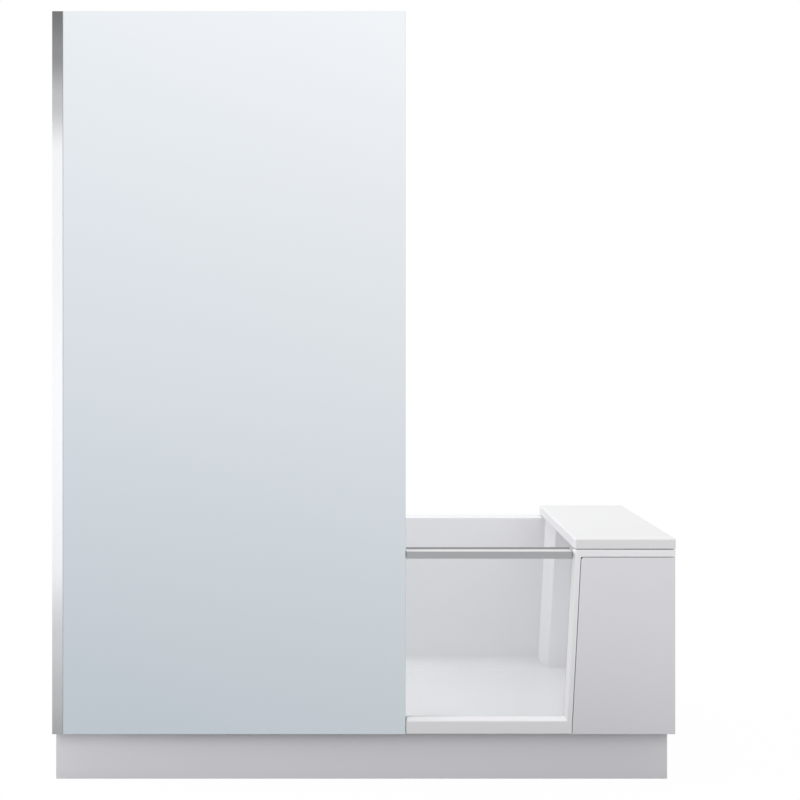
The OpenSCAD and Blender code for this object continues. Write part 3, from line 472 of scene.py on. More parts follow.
def finishPiece(bm, name, replaced, sharp=50, mats=None):
    # one object from the mesh, smooth but for its sharp edges, on the body of the nodes it stands for
    bmesh.ops.recalc_face_normals(bm, faces=bm.faces)
    for edge in bm.edges:
        edge.smooth = len(edge.link_faces) == 2 and edge.calc_face_angle(0.0) < math.radians(sharp)
    mesh = bpy.data.meshes.new(name + "Mesh")
    bm.to_mesh(mesh)
    bm.free()
    slot = slotOf[replaced[0]]
    for mat in (mats or [materials[slot]]):
        mesh.materials.append(mat)
    piece = bpy.data.objects.new(name, mesh)
    scene.collection.objects.link(piece)
    for face in mesh.polygons:
        face.use_smooth = True
    shading = piece.modifiers.new("weighted", "WEIGHTED_NORMAL")
    shading.keep_sharp = True
    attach(piece, bodyOf[replaced[0]])
    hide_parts(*replaced)
    return piece


def axisFrame(axis):
    w = Vector(axis).normalized()
    u = Vector((0.0, 0.0, 1.0)).cross(w) if abs(w.z) < 0.9 else Vector((1.0, 0.0, 0.0))
    u.normalize()
    return u, w.cross(u), w


def ringRow(bm, base, frameAxes, radii, height):
    u, v, w = frameAxes
    count = len(radii)
    return [bm.verts.new(base + w * height + (u * math.cos(t) + v * math.sin(t)) * r)
            for r, t in zip(radii, (2 * math.pi * i / count for i in range(count)))]


def bridgeRows(bm, low, high):
    count = len(low)
    for i in range(count):
        bm.faces.new((low[i], low[(i + 1) % count], high[(i + 1) % count], high[i]))


def closeRow(bm, row, point):
    tip = bm.verts.new(point)
    for i in range(len(row)):
        bm.faces.new((row[i], row[(i + 1) % len(row)], tip))


def turned(bm, base, axis, profile, steps=40, closed=False):
    # turned part: profile of (radius, height) about an axis; radius 0 closes it with a point
    axes = axisFrame(axis)
    base = Vector(base)
    rows = []
    for radius, height in profile:
        if radius <= 0:
            rows.append(base + axes[2] * height)
        else:
            rows.append(ringRow(bm, base, axes, [radius] * steps, height))
    pairs = list(zip(rows, rows[1:])) + ([(rows[-1], rows[0])] if closed else [])
    for low, high in pairs:
        if isinstance(low, Vector) and isinstance(high, Vector):
            continue
        if isinstance(low, Vector):
            closeRow(bm, high, low)
        elif isinstance(high, Vector):
            closeRow(bm, low, high)
        else:
            bridgeRows(bm, low, high)


def threaded(bm, base, axis, radius, length, pitch, depth, steps=12):
    # rod with a screw thread and chamfered ends
    axes = axisFrame(axis)
    base = Vector(base)
    rowCount = max(4, int(length / pitch * 4))
    rows = []
    for k in range(rowCount + 1):
        h = length * k / rowCount
        taper = min(1.0, min(h, length - h) / (radius * 0.25) + 0.75)
        radii = []
        for i in range(steps):
            phase = (h / pitch - i / steps) % 1.0
            radii.append((radius - depth * abs(phase * 2 - 1)) * taper)
        rows.append(ringRow(bm, base, axes, radii, h))
    for low, high in zip(rows, rows[1:]):
        bridgeRows(bm, low, high)
    closeRow(bm, rows[0], base)
    closeRow(bm, rows[-1], base + axes[2] * length)


def hexNut(bm, base, axis, cornerR, height, bore, steps=48):
    # nut with chamfered corners; its bore is countersunk at both ends
    axes = axisFrame(axis)
    base = Vector(base)
    flat = cornerR * math.cos(math.pi / 6)
    turns = [(2 * math.pi * i / steps) % (math.pi / 3) - math.pi / 6 for i in range(steps)]
    hexa = [flat / math.cos(t) for t in turns]
    small = [min(r, flat * 1.01) for r in hexa]
    hole, wide = [bore] * steps, [bore + 0.0006] * steps
    chamfer, sink = height * 0.14, 0.0005
    rows = [ringRow(bm, base, axes, radii, h) for radii, h in (
        (hole, sink), (wide, 0.0), (small, 0.0), (hexa, chamfer), (hexa, height - chamfer),
        (small, height), (wide, height), (hole, height - sink))]
    for low, high in zip(rows, rows[1:] + rows[:1]):
        bridgeRows(bm, low, high)


def roundEdges(bm, edges, radius, steps, clamp=True):
    bmesh.ops.bevel(bm, geom=edges, offset=radius, offset_type="OFFSET", segments=steps, profile=0.5,
                    affect="EDGES", clamp_overlap=clamp)


def roundedBox(bm, low, high, radius, steps=4, foot=None):
    # box with rounded edges; foot is a smaller rounding for its lowest edges
    low, high = Vector(low), Vector(high)
    made = bmesh.ops.create_cube(bm, size=1.0)
    for vert in made["verts"]:
        vert.co = Vector([(low[i] + high[i]) / 2 + vert.co[i] * (high[i] - low[i]) for i in range(3)])
    edges = {e for v in made["verts"] for e in v.link_edges}
    lowest = {e for e in edges if foot and all(v.co.z < low.z + 1e-6 for v in e.verts)}
    roundEdges(bm, list(edges - lowest), radius, steps)
    if foot:
        lowest = [e for e in bm.edges if all(v.co.z < low.z + 1e-6 for v in e.verts)]
        roundEdges(bm, lowest, foot, 2)


def sweepSection(bm, path, section, up):
    # section of (side, up) points drawn along a path with mitred corners
    path = [Vector(p) for p in path]
    up = Vector(up)
    rows = []
    for i, point in enumerate(path):
        before = (point - path[i - 1]).normalized() if i > 0 else None
        after = (path[i + 1] - point).normalized() if i + 1 < len(path) else None
        along = (before or after) if not (before and after) else (before + after).normalized()
        side = along.cross(up).normalized()
        stretch = 1.0 if not (before and after) else 1.0 / max(0.2, along.dot(before))
        rows.append([bm.verts.new(point + side * a * stretch + up * b) for a, b in section])
    for low, high in zip(rows, rows[1:]):
        bridgeRows(bm, low, high)
    bm.faces.new(rows[0])
    bm.faces.new(rows[-1][::-1])


def polishedCopy(node, cfg, extra=None):
    # the CAD node's form with its faces cleaned and its edges rounded
    bm = bmesh.new()
    bm.from_mesh(nodes[node].data)
    bmesh.ops.remove_doubles(bm, verts=bm.verts, dist=polish["mergeAt"])
    bmesh.ops.dissolve_limit(bm, angle_limit=math.radians(polish["flatAngle"]), verts=bm.verts,
                             edges=bm.edges, delimit=set())
    edges = [e for e in bm.edges if len(e.link_faces) == 2
             and e.calc_face_angle(0.0) > math.radians(polish["roundFrom"])
             and not any(all(insideBox(v.co, box) for v in e.verts) for box in cfg.get("skip", ()))]
    roundEdges(bm, edges, cfg["round"], polish["steps"], clamp=False)
    mats = [materials[cfg.get("finish", slotOf[node])]]
    if extra:
        mats += extra(bm)
    first, *others = node.split("_")
    name = first + "".join(word.capitalize() for word in others) + "Piece"
    return finishPiece(bm, name, [node], cfg.get("sharp", 40), mats)


# inside of the basin; skin is the thickness of the moulding, doorway the part seen from the front
basin = dict(headTop=-0.770, headLow=-0.600, footTop=0.715, footLow=0.700, frontTop=-0.330,
             frontLow=-0.314, back=0.290, pillarBack=0.262, frontShown=-0.345, floor=0.148,
             rim=0.638, skin=0.008, lipHeight=0.028,
             doorway=((0.03, -0.376, 0.13), (0.60, -0.318, 0.64)))


def rawBack(bm):
    # the moulding's hidden side keeps its rough fibre backing
    cfg = basin
    for face in bm.faces:
        c = face.calc_center_median()
        k = min(1.0, max(0.0, (cfg["rim"] - c.z) / (cfg["rim"] - cfg["floor"])))
        head = cfg["headTop"] + (cfg["headLow"] - cfg["headTop"]) * k
        foot = cfg["footTop"] + (cfg["footLow"] - cfg["footTop"]) * k
        front = cfg["frontTop"] + (cfg["frontLow"] - cfg["frontTop"]) * k
        half = cfg["skin"] / 2
        within = (head - half < c.x < foot + half and front - half < c.y < cfg["back"] + half
                  and c.z > cfg["floor"] - half)
        lip = c.z > cfg["rim"] - cfg["lipHeight"] and face.normal.z > -0.4
        behind = c.y > cfg["pillarBack"] and face.normal.y > 0.3
        shown = lip or c.y < cfg["frontShown"] or insideBox(c, cfg["doorway"])
        if (behind or not within) and not shown:
            face.material_index = 1
    return [materials["moulding_back"]]


def stripFace(bm):
    # the strip's outer face and edge, which carry the strip finish with its painted reflection
    for face in bm.faces:
        if face.normal.y < -0.5:
            face.material_index = 1
    return [materials["profile_strip"]]


railTones = dict(lipFoot=0.6345)  # the lip starts at this height


def railFaces(bm):
    # satin faces, a top painted lighter as a painted highlight and a lip painted darker as painted shade
    for face in bm.faces:
        if face.calc_center_median().z > railTones["lipFoot"]:
            face.material_index = 2
        elif face.normal.z > 0.5:
            face.material_index = 1
    return [materials["cut_aluminium"], materials["dark_aluminium"]]


def glassSides(bm):
    # coat in front, painted film behind, polished edges round it
    for face in bm.faces:
        if face.normal.y > 0.9:
            face.material_index = 1
        elif face.normal.y > -0.9:
            face.material_index = 2
    return [materials["glass_film"], materials["glass_edge"]]


# rounding of each CAD form's edges, with more settings where a form needs them
roundings = {
    # the edges at the panel's and the cover's seams and round the strike plate stay crisp
    "tub_shell": dict(round=0.0025, sharp=32, skip=(
        ((0.560, -0.376, 0.13), (0.592, -0.374, 0.62)), ((0.588, -0.377, 0.617), (0.855, -0.373, 0.6395)),
        ((0.575, -0.360, 0.609), (0.605, -0.329, 0.6365)))),
    "front_panel": 0.001, "side_panel": 0.001, "plinth_front": 0.001, "plinth_side": 0.001,
    "plinth_clips": 0.002, "tall_glass": 0.0008, "door_glass": 0.0007, "profile_cover": 0.0004,
    "wall_profile": 0.0003, "profile_cap": 0.0012, "glass_edge_seal": 0.0003, "glass_clamps": 0.0015,
    "door_rail": 0.0004, "rail_end_caps": dict(round=0.0005, finish="cap_plastic"),
    "bolt_guide": 0.0004, "door_stile": 0.0004, "door_post": 0.0005, "hinge_brackets": 0.0006,
    "latch_crank": 0.0003, "latch_strike": 0.0004, "frame_rails": 0.0012, "cross_members": 0.0012,
    "frame_uprights": 0.0012, "base_board": 0.0008, "panel_brackets": 0.0006, "glass_brackets": 0.0006,
    "waste_body": 0.0008, "waste_pipe": 0.0007, "overflow_body": 0.0008, "overflow_pipe": 0.0007,
    "bowden_cable": 0.0006, "trap_cup": 0.0008,
}
extras = {"tub_shell": rawBack, "door_rail": railFaces, "tall_glass": glassSides,
          "profile_cover": stripFace}
for node, cfg in roundings.items():
    polishedCopy(node, cfg if isinstance(cfg, dict) else dict(round=cfg), extras.get(node))
print("rounded pieces built", len(roundings))


coverSlab = dict(round=0.005, steps=6, foot=0.0008, recessIn=0.014, recessDepth=0.0012)


def faceOrder(face):
    # a number of its own for each face, from its three lowest points
    a, b, c = sorted(v.index for v in face.verts)[:3]
    return (a * 1e4 + b) * 1e4 + c


def buildCoverSlab(cfg):
    low, high = (Vector(c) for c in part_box("cover_slab"))
    bm = bmesh.new()
    roundedBox(bm, low, high, cfg["round"], cfg["steps"], cfg["foot"])
    under = max((f for f in bm.faces if f.normal.z < -0.99), key=lambda f: f.calc_area())
    bmesh.ops.inset_region(bm, faces=[under], thickness=cfg["recessIn"], depth=-cfg["recessDepth"])
    # rounding and inset list the faces in another order each run, so they get a fixed one
    bm.verts.index_update()
    bm.faces.sort(key=faceOrder)
    finishPiece(bm, "coverSlabPiece", ["cover_slab"], sharp=30)


buildCoverSlab(coverSlab)


# pads and pegs under the cover, and the pegs' bushes in the rim
coverFeet = dict(padEdge=0.0006, padDimple=0.0002, pegChamfer=0.0016, grooves=3, grooveGap=0.0035,
                 grooveDepth=0.0006, grooveSlope=0.0004, grooveW=0.0016, pegPlay=0.0001,
                 bushEdge=0.0008)


def buildCoverFeet(cfg):
    bm = bmesh.new()
    e, dimple = cfg["padEdge"], cfg["padDimple"]
    for low, high in islandsOf("cover_pads"):
        base, h, r = uprightRound(low, high)
        turned(bm, base, upright, [(0, dimple), (r * 0.45, dimple), (r * 0.5, 0), (r - e, 0), (r, e),
                                   (r, h - e), (r - e, h), (0, h)])
    finishPiece(bm, "coverPads", ["cover_pads"])
    bm = bmesh.new()
    e, depth, slope, width = cfg["pegChamfer"], cfg["grooveDepth"], cfg["grooveSlope"], cfg["grooveW"]
    for low, high in islandsOf("cover_pegs"):
        base, h, r = uprightRound(low, high)
        profile = [(0, 0), (r - e, 0), (r, e)]
        for k in range(cfg["grooves"]):
            z = e + cfg["grooveGap"] * (k + 0.6)
            profile += [(r, z), (r - depth, z + slope), (r - depth, z + width - slope), (r, z + width)]
        turned(bm, base, upright, profile + [(r, h), (0, h)])
    finishPiece(bm, "coverPegs", ["cover_pegs"])
    bm = bmesh.new()
    bore, e = uprightRound(*islandsOf("cover_pegs")[0])[2] + cfg["pegPlay"], cfg["bushEdge"]
    for low, high in islandsOf("peg_bushes"):
        base, h, r = uprightRound(low, high)
        turned(bm, base, upright, [(bore, 0), (r, 0), (r, h - e * 0.4), (r - e * 0.4, h), (bore + e, h),
                                   (bore, h - e)], closed=True)
    finishPiece(bm, "pegBushes", ["peg_bushes"])


buildCoverFeet(coverFeet)


# levelling feet: threaded bolts, chamfered nuts, ribbed pads
feet = dict(pitch=0.00175, threadDepth=0.0009, nutPlay=0.0002, ribs=12, ribSteps=6, ribDepth=0.0012,
            topDip=0.0004)
# share of the pad's radius, share of its height, and whether the ribs run there
padOutline = [(0.90, 0.0, 0), (0.985, 0.03, 1), (1.0, 0.08, 1), (1.0, 0.26, 1), (0.96, 0.32, 1),
              (0.82, 0.34, 0), (0.78, 0.36, 0), (0.62, 0.56, 0), (0.50, 0.80, 0), (0.46, 0.97, 0),
              (0.44, 1.0, 0)]


def buildFeet(cfg):
    bolts = islandsOf("foot_bolts")
    boltR = uprightRound(*bolts[0])[2]
    bm = bmesh.new()
    for low, high in bolts:
        base, h, r = uprightRound(low, high)
        threaded(bm, base, upright, boltR, h, cfg["pitch"], cfg["threadDepth"])
    finishPiece(bm, "footBolts", ["foot_bolts"], sharp=80)
    bm = bmesh.new()
    for low, high in islandsOf("foot_nuts"):
        base, h, r = uprightRound(low, high)
        hexNut(bm, base, upright, r, h, boltR - cfg["nutPlay"])
    finishPiece(bm, "footNuts", ["foot_nuts"], sharp=25)
    bm = bmesh.new()
    for low, high in islandsOf("foot_pads"):
        base, h, r = uprightRound(low, high)
        wave = [1.0 - cfg["ribDepth"] / r * (0.5 + 0.5 * math.cos(2 * math.pi * i / cfg["ribSteps"]))
                for i in range(cfg["ribs"] * cfg["ribSteps"])]
        rows = [ringRow(bm, base, axisFrame(upright), [r * k * (w if ribbed else 1.0) for w in wave], h * z)
                for k, z, ribbed in padOutline]
        for a, b in zip(rows, rows[1:]):
            bridgeRows(bm, a, b)
        closeRow(bm, rows[0], base)
        closeRow(bm, rows[-1], Vector((base.x, base.y, high.z - cfg["topDip"])))
    finishPiece(bm, "footPads", ["foot_pads"])


buildFeet(feet)


# hinge pins with a small head, and the post's screws with a socket in a domed head;
# socket is the driver hole of a head of the radius socketFor
pins = dict(shaftLess=0.002, headH=0.002, footEdge=0.0006)
screws = dict(headH=0.003, pitch=0.0012, threadDepth=0.0004, socket=0.0013, socketFor=0.003,
              socketDepth=0.0016)


def domedHead(bm, base, axis, radius, cfg):
    height = cfg["headH"]
    s, depth = cfg["socket"] * radius / cfg["socketFor"], min(cfg["socketDepth"], height * 0.7)
    turned(bm, base, axis, [(0, 0), (radius, 0), (radius, height * 0.35), (radius * 0.93, height * 0.72),
                            (radius * 0.72, height * 0.95), (s * 1.25, height), (s, height - 0.0003),
                            (s, height - depth), (0, height - depth)], steps=24)


def buildPins(cfg):
    bm = bmesh.new()
    for low, high in islandsOf("hinge_pins"):
        base, h, headR = uprightRound(low, high)
        shaft, e, neck = headR - cfg["shaftLess"], cfg["footEdge"], h - cfg["headH"]
        turned(bm, base, upright, [
            (0, 0), (shaft - e, 0), (shaft, e), (shaft, neck), (headR, neck), (headR, h - 0.0011),
            (headR * 0.9, h - 0.0004), (headR * 0.6, h), (0, h)])
    finishPiece(bm, "hingePins", ["hinge_pins"])


def buildScrews(cfg):
    bm = bmesh.new()
    for low, high in islandsOf("post_screws"):
        c, headR, neck = midOf((low, high)), (high.y - low.y) / 2, high.x - cfg["headH"]
        domedHead(bm, (neck, c.y, c.z), (1, 0, 0), headR, cfg)
        threaded(bm, (low.x, c.y, c.z), (1, 0, 0), headR / 2, neck - low.x, cfg["pitch"],
                 cfg["threadDepth"])
    finishPiece(bm, "postScrews", ["post_screws"], sharp=60)


buildPins(pins)
buildScrews(screws)


# pot magnets and their steel discs
magnets = dict(rim=0.0012, gap=0.0006, edge=0.0004, groove=0.0008)


def buildMagnets(cfg):
    e, groove = cfg["edge"], cfg["groove"]
    for node, pot in (("panel_magnets", True), ("panel_keepers", False)):
        bm = bmesh.new()
        for low, high in islandsOf(node):
            c, t, r = midOf((low, high)), high.y - low.y, (high.x - low.x) / 2
            face = [(0, 0), (r * 0.30, 0), (r * 0.32, groove), (r * 0.36, groove), (r * 0.38, 0)]
            if pot:
                inner, outer = r - cfg["rim"] - cfg["gap"], r - cfg["rim"]
                face += [(inner, 0), (inner, groove), (outer, groove), (outer, 0)]
            turned(bm, (c.x, low.y, c.z), (0, 1, 0),
                   face + [(r - e, 0), (r, e), (r, t - e), (r - e, t), (0, t)])
        finishPiece(bm, "panelMagnets" if pot else "panelKeepers", [node], sharp=40)


buildMagnets(magnets)


# soft seal on the stop: two lips on a flat strip; its right side follows the leaning jamb
doorGasket = dict(width=0.007, lip=0.002, endReach=0.002)


def buildDoorGasket(cfg):
    low, high = (Vector(c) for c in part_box("door_gasket"))
    half, lip, reach = cfg["width"] / 2, cfg["lip"], cfg["endReach"]
    points = [v.co for v in nodes["door_gasket"].data.vertices]
    bottomRight = max(p.x for p in points if p.z < low.z + reach)
    topRight = max(p.x for p in points if p.z > high.z - reach)
    path = [(low.x + half, low.y, high.z), (low.x + half, low.y, low.z + half),
            (bottomRight - half, low.y, low.z + half), (topRight - half, low.y, high.z)]
    section = [(-half, 0), (half, 0), (half, lip * 0.35), (half * 0.72, lip * 0.8), (half * 0.40, lip),
               (half * 0.12, lip * 0.62), (-half * 0.12, lip * 0.62), (-half * 0.40, lip),
               (-half * 0.72, lip * 0.8), (-half, lip * 0.35)]
    bm = bmesh.new()
    sweepSection(bm, path, section, (0, 1, 0))
    finishPiece(bm, "doorGasket", ["door_gasket"], sharp=60)


buildDoorGasket(doorGasket)


# drain: flange, pop-up plug and seals; heights are measured from the basin's floor
drain = dict(flangeR=0.043, flangeT=0.0025, neckR=0.0297, boreR=0.0265, neckLow=-0.028, seatR=0.034,
             plugR=0.0255, plugLow=0.0018, plugTop=0.0058, stemR=0.004, stemLow=-0.042, sealR=0.026,
             flangeSealEdge=0.0008, flangeSealPlay=0.0003, steps=72)


def buildDrain(cfg):
    c = midOf([Vector(v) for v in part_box("waste_flange")])
    base = Vector((c.x, c.y, basin["floor"]))
    steps, low, stem = cfg["steps"], cfg["plugLow"], cfg["stemR"]
    t, r, neck, bore = cfg["flangeT"], cfg["flangeR"], cfg["neckR"], cfg["boreR"]
    bm = bmesh.new()
    turned(bm, base, upright, [
        (neck, cfg["neckLow"]), (neck, 0), (r - 0.0006, 0), (r, 0.0004), (r - 0.0004, t * 0.55),
        (r - 0.0018, t * 0.86), (r - 0.004, t), (cfg["seatR"] + 0.001, t), (cfg["seatR"], t - 0.0004),
        (bore + 0.0006, 0.0008), (bore, 0.0002), (bore, cfg["neckLow"])], steps=steps, closed=True)
    finishPiece(bm, "wasteFlange", ["waste_flange"])
    r, top = cfg["plugR"], cfg["plugTop"]
    bm = bmesh.new()
    turned(bm, base, upright, [
        (0, top), (r * 0.36, top - 0.0001), (r * 0.62, top - 0.00035), (r * 0.66, top - 0.0008),
        (r * 0.70, top - 0.0005), (r * 0.88, top - 0.0011), (r * 0.96, top - 0.0018), (r, top - 0.0026),
        (r, low + 0.0003), (r - 0.0003, low), (stem, low), (stem, cfg["stemLow"] + 0.001),
        (stem - 0.001, cfg["stemLow"]), (0, cfg["stemLow"])], steps=steps)
    finishPiece(bm, "drainPlug", ["drain_plug"])
    r = cfg["sealR"]
    bm = bmesh.new()
    turned(bm, base, upright, [
        (stem, -0.0012), (r - 0.002, -0.0012), (r - 0.0006, -0.0004), (r, 0.0004), (r - 0.0004, 0.0014),
        (r - 0.0012, low), (stem, low)], steps=steps, closed=True)
    finishPiece(bm, "plugSeal", ["plug_seal"])
    low, high = (Vector(v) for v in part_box("flange_seal"))
    r, h = (high.x - low.x) / 2, high.z - low.z
    e, hole = cfg["flangeSealEdge"], neck + cfg["flangeSealPlay"]
    bm = bmesh.new()
    turned(bm, (c.x, c.y, low.z), upright, [
        (hole, 0), (r - e, 0), (r, e), (r, h - e), (r - e, h), (hole, h)], steps=steps, closed=True)
    finishPiece(bm, "flangeSeal", ["flange_seal"])


buildDrain(drain)


# overflow knob with two grips
overflowKnob = dict(dish=0.0012, edge=0.0022, backEdge=0.0012, gripW=0.010, gripH=0.008,
                    gripOut=0.003, gripIn=0.003, gripAt=0.025, gripRound=0.0018)


def buildOverflowKnob(cfg):
    low, high = (Vector(v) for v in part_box("overflow_knob"))
    c, r = midOf((low, high)), (high.x - low.x) / 2
    t, e, back = high.y - low.y - cfg["gripOut"], cfg["edge"], cfg["backEdge"]
    hollow = t - cfg["dish"]
    bm = bmesh.new()
    turned(bm, (c.x, high.y, c.z), (0, -1, 0), [
        (0, 0), (r - back, 0), (r, back), (r, t - e), (r - e * 0.3, t - e * 0.3), (r - e, t),
        (r - e * 1.6, t), (r - e * 2.4, t - cfg["dish"] * 0.7), (r * 0.5, hollow), (0, hollow)], steps=96)
    halfW, halfH, inside = cfg["gripW"] / 2, cfg["gripH"] / 2, low.y + cfg["gripOut"] + cfg["gripIn"]
    for z in (c.z - cfg["gripAt"], c.z + cfg["gripAt"]):
        roundedBox(bm, (c.x - halfW, low.y, z - halfH), (c.x + halfW, inside, z + halfH),
                   cfg["gripRound"])
    finishPiece(bm, "overflowKnob", ["overflow_knob"], sharp=45)


# its spindle and cable drum; drumFrom and drumTo are measured from the back of the moulding
knobSpindle = dict(rodR=0.005, drumFrom=0.014, drumTo=0.030, flangeT=0.003, groove=0.002, tipEdge=0.0008)


def buildKnobSpindle(cfg):
    low, high = (Vector(v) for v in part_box("knob_spindle"))
    c, drumR, rodR, length = midOf((low, high)), (high.x - low.x) / 2, cfg["rodR"], high.y - low.y
    wallBack = basin["back"] + basin["skin"] - low.y
    drum0, drum1 = wallBack + cfg["drumFrom"], wallBack + cfg["drumTo"]
    f, g, e = cfg["flangeT"], cfg["groove"], cfg["tipEdge"]
    bm = bmesh.new()
    turned(bm, (c.x, low.y, c.z), (0, 1, 0), [
        (0, 0), (rodR, 0), (rodR, drum0), (drumR, drum0), (drumR, drum0 + f), (drumR - g, drum0 + f + g),
        (drumR - g, drum1 - f - g), (drumR, drum1 - f), (drumR, drum1), (rodR, drum1),
        (rodR, length - e), (rodR - e, length), (0, length)])
    finishPiece(bm, "knobSpindle", ["knob_spindle"], sharp=40)


buildOverflowKnob(overflowKnob)
buildKnobSpindle(knobSpindle)


# lever behind the rail: a slim arm that narrows towards its knob; armBack is how far in front
# of the knob's face the arm starts, capOutline is (radius, height) of the spindle's cap
latchLever = dict(hubR=0.0055, endR=0.0042, knobR=0.0055, arm=0.064, armT=0.005, armBack=0.011,
                  spindleR=0.003, edge=0.0009, endSteps=12,
                  capOutline=[(0, 0), (0.0036, 0), (0.0034, 0.0007), (0.0024, 0.0010), (0, 0.0010)])


def buildLatchLever(cfg):
    low, high = (Vector(v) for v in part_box("latch_lever"))
    pivot = Vector((high.x - cfg["hubR"], 0, midOf((low, high)).z))
    y0 = high.y - cfg["armBack"]
    y1 = y0 + cfg["armT"]
    e, middle = cfg["edge"], Vector((pivot.x - cfg["arm"] / 2, 0, pivot.z))
    outline = []
    for x, radius, start in ((pivot.x, cfg["hubR"], -math.pi / 2),
                             (pivot.x - cfg["arm"], cfg["endR"], math.pi / 2)):
        for i in range(cfg["endSteps"] + 1):
            a = start + math.pi * i / cfg["endSteps"]
            outline.append((x + radius * math.cos(a), pivot.z + radius * math.sin(a)))
    bm = bmesh.new()
    rows = []
    for inset, y in ((e, y0), (0, y0 + e), (0, y1 - e), (e, y1)):
        rows.append([bm.verts.new((x - inset * (1 if x > middle.x else -1) * 0.9, y,
                                   z - inset * (1 if z > middle.z else -1) * 0.9)) for x, z in outline])
    for a, b in zip(rows, rows[1:]):
        bridgeRows(bm, a, b)
    bm.faces.new(rows[0])
    bm.faces.new(rows[-1][::-1])
    knob = Vector((pivot.x - cfg["arm"], y1 - 0.0005, pivot.z))
    r, h = cfg["knobR"], high.y - y1 + 0.0005
    turned(bm, knob, (0, 1, 0), [(0, 0), (r * 0.72, 0), (r * 0.72, h * 0.2), (r, h * 0.45), (r, h * 0.72),
                                 (r * 0.86, h * 0.93), (r * 0.6, h), (0, h)], steps=32)
    r, h = cfg["spindleR"], y0 + 0.001 - low.y
    turned(bm, (pivot.x, low.y, pivot.z), (0, 1, 0), [(0, 0), (r, 0), (r, h), (0, h)], steps=24)
    turned(bm, (pivot.x, y1 - 0.0002, pivot.z), (0, 1, 0), cfg["capOutline"], steps=24)
    finishPiece(bm, "latchLever", ["latch_lever"], sharp=40)


buildLatchLever(latchLever)


# bolt with a chamfered tip, and the slotted yoke that its crank pin works in; the yoke's back
# plate is inset and reaches plateDrop below the rod's middle
latchBolt = dict(rodR=0.004, rearEdge=0.0005, tip=0.0012, slotHalf=0.0019, edge=0.0004,
                 plateInset=0.0002, plateDrop=0.0016)


def buildLatchBolt(cfg):
    low, high = (Vector(v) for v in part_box("latch_bolt"))
    points = [v.co for v in nodes["latch_bolt"].data.vertices]
    end = [p for p in points if p.x > high.x - 0.0005]
    rodY, rodZ = sum(p.y for p in end) / len(end), sum(p.z for p in end) / len(end)
    yoke = [p for p in points if abs(p.z - low.z) < 0.0002]
    x0, x1 = min(p.x for p in yoke), max(p.x for p in yoke)
    y0, y1 = min(p.y for p in yoke), max(p.y for p in yoke)
    mid, slot, top, inset = (x0 + x1) / 2, cfg["slotHalf"], high.z, cfg["plateInset"]
    rodR, e, tip, length = cfg["rodR"], cfg["rearEdge"], cfg["tip"], high.x - low.x
    bm = bmesh.new()
    turned(bm, (low.x, rodY, rodZ), (1, 0, 0), [
        (0, 0), (rodR - e, 0), (rodR, e), (rodR, length - tip), (rodR - tip * 0.8, length), (0, length)])
    plateFoot = rodZ - cfg["plateDrop"]
    for a, b in (((x0, y0, low.z), (mid - slot, y1, top)), ((mid + slot, y0, low.z), (x1, y1, top)),
                 ((x0 + inset, y0 + inset, plateFoot), (x1 - inset, y1 - inset, top - inset))):
        roundedBox(bm, a, b, cfg["edge"], 2)
    finishPiece(bm, "latchBolt", ["latch_bolt"], sharp=40)


buildLatchBolt(latchBolt)
print("detailed pieces built")


# floor, backdrop and sky; the tones are what each kind of ray sees
studio = dict(floorSize=30.0, floorWhite=0.975, floorRough=0.9, floorSpecular=0.1, shadowTone=0.8,
              nearTone=0.10, farTone=0.85, nearFrom=(0.9, 2.2), skyEven=1.03, skyGloss=(1.0, 1.0, 1.0),
              horizonGloss=(0.77, 0.79, 0.805), horizonTop=0.35, floorGloss=(0.52, 0.565, 0.59),
              glossReach=3.4)
white = (1.0, 1.0, 1.0, 1.0)


def directGloss(tree, path):
    # reflections that are seen themselves, not the ones that light other surfaces
    first = mathNode(tree, "LESS_THAN", path["Diffuse Depth"], 0.5)
    return mathNode(tree, "MULTIPLY", path["Is Glossy Ray"], first)


def directSight(tree, path):
    # what is seen by itself or through clear glass
    return mathNode(tree, "MAXIMUM", path["Is Camera Ray"], path["Is Transmission Ray"])


def buildFloor(cfg):
    mesh = bpy.data.meshes.new("studioFloorMesh")
    s = cfg["floorSize"]
    mesh.from_pydata([(-s, -s, 0), (s, -s, 0), (s, s, 0), (-s, s, 0)], [], [(0, 1, 2, 3)])
    floor = bpy.data.objects.new("studioFloor", mesh)
    scene.collection.objects.link(floor)
    mat, tree, shader, out = startMaterial("studioFloorPaint")
    path = addNode(tree, "LightPath").outputs
    away = vectorNode(tree, "LENGTH", objectPoint(tree))
    # darker near the object, so that little light comes back up there; the camera sees shadowTone
    bounce = mapRange(tree, away, (cfg["nearTone"], cfg["farTone"]), cfg["nearFrom"])
    shown = mathNode(tree, "MULTIPLY", path["Is Camera Ray"], cfg["shadowTone"])
    setInputs(tree, shader, Base_Color=mathNode(tree, "MAXIMUM", bounce, shown),
              Roughness=cfg["floorRough"], Specular_IOR_Level=cfg["floorSpecular"])
    glow = addNode(tree, "Emission", Strength=1.0)
    share = mathNode(tree, "MULTIPLY", directSight(tree, path), cfg["floorWhite"])
    lit = mixShader(tree, share, shader.outputs[0], glow.outputs[0])
    # what metal and glass see of the floor: pale, paler with distance
    reach = mathNode(tree, "ADD", away, cfg["glossReach"])
    far = mathNode(tree, "DIVIDE", away, reach, clamp=True)
    sheen = addNode(tree, "Emission", Color=mixColor(tree, far, cfg["floorGloss"], cfg["horizonGloss"]))
    last = mixShader(tree, directGloss(tree, path), lit, sheen.outputs[0])
    tree.links.new(last, out.inputs["Surface"])
    mesh.materials.append(mat)


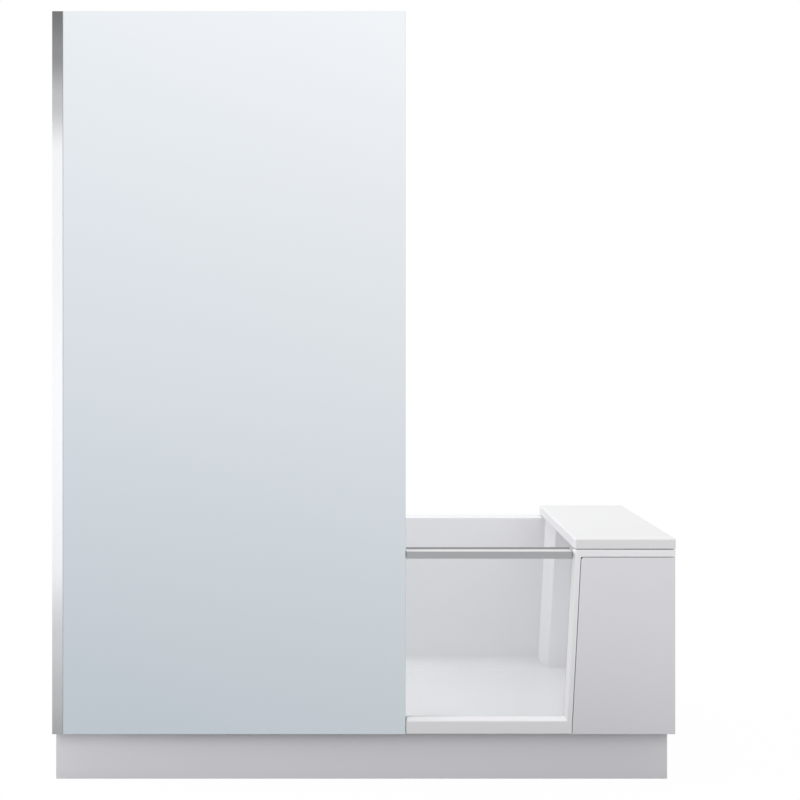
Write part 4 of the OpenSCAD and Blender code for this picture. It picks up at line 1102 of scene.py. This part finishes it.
def buildWorld(cfg):
    world = bpy.data.worlds.new("studioWorld")
    scene.world = world
    world.use_nodes = True
    tree = world.node_tree
    tree.nodes.clear()
    out = addNode(tree, "OutputWorld")
    path = addNode(tree, "LightPath").outputs
    point = addNode(tree, "TexCoord").outputs["Generated"]
    height = addNode(tree, "SeparateXYZ", Vector=point).outputs["Z"]
    rise = mapRange(tree, height, start=(0.0, cfg["horizonTop"]))
    skyTone = mixColor(tree, rise, cfg["horizonGloss"], cfg["skyGloss"])
    mirrored = addNode(tree, "Background", Color=skyTone)
    ambient = addNode(tree, "Background", Color=white, Strength=cfg["skyEven"])
    backdrop = addNode(tree, "Background", Color=white, Strength=1.0)
    around = mixShader(tree, directGloss(tree, path), ambient.outputs[0], mirrored.outputs[0])
    last = mixShader(tree, directSight(tree, path), around, backdrop.outputs[0])
    tree.links.new(last, out.inputs["Surface"])


lamps = {
    "sideLamp": dict(place=(-2.0, -0.1, 2.4), target=(0.4, 0.1, 0.4), size=(1.0, 1.0), power=37.0),
    "frontLamp": dict(place=(-1.0, -1.5, 0.9), target=(0.3, -0.3, 0.3), size=(0.8, 0.8), power=3.2),
}


def addLamp(name, place, target, size, power):
    lamp = bpy.data.lights.new(name, "AREA")
    lamp.shape = "RECTANGLE"
    lamp.size, lamp.size_y = size
    lamp.energy = power
    obj = bpy.data.objects.new(name, lamp)
    scene.collection.objects.link(obj)
    obj.location = place
    obj.visible_glossy = False
    obj.visible_camera = False
    obj.rotation_euler = (Vector(target) - Vector(place)).to_track_quat("-Z", "Y").to_euler()


cameraView = dict(place=(0.0529, -3.690, 1.160), lens=54.76, sensor=36.0, shift=(0.0206, -0.0525),
                  reach=60.0)


def addCamera(cfg):
    # level, looking straight at the front
    camera = bpy.data.cameras.new("studioCamera")
    camera.lens = cfg["lens"]
    camera.sensor_width = cfg["sensor"]
    camera.shift_x, camera.shift_y = cfg["shift"]
    camera.clip_end = cfg["reach"]
    obj = bpy.data.objects.new("studioCamera", camera)
    scene.collection.objects.link(obj)
    obj.location = cfg["place"]
    obj.rotation_euler = (math.radians(90), 0.0, 0.0)
    return obj


buildFloor(studio)
buildWorld(studio)
for name, cfg in lamps.items():
    addLamp(name, **cfg)
scene.camera = addCamera(cameraView)
scene.view_settings.view_transform = "Standard"
print("studio built")
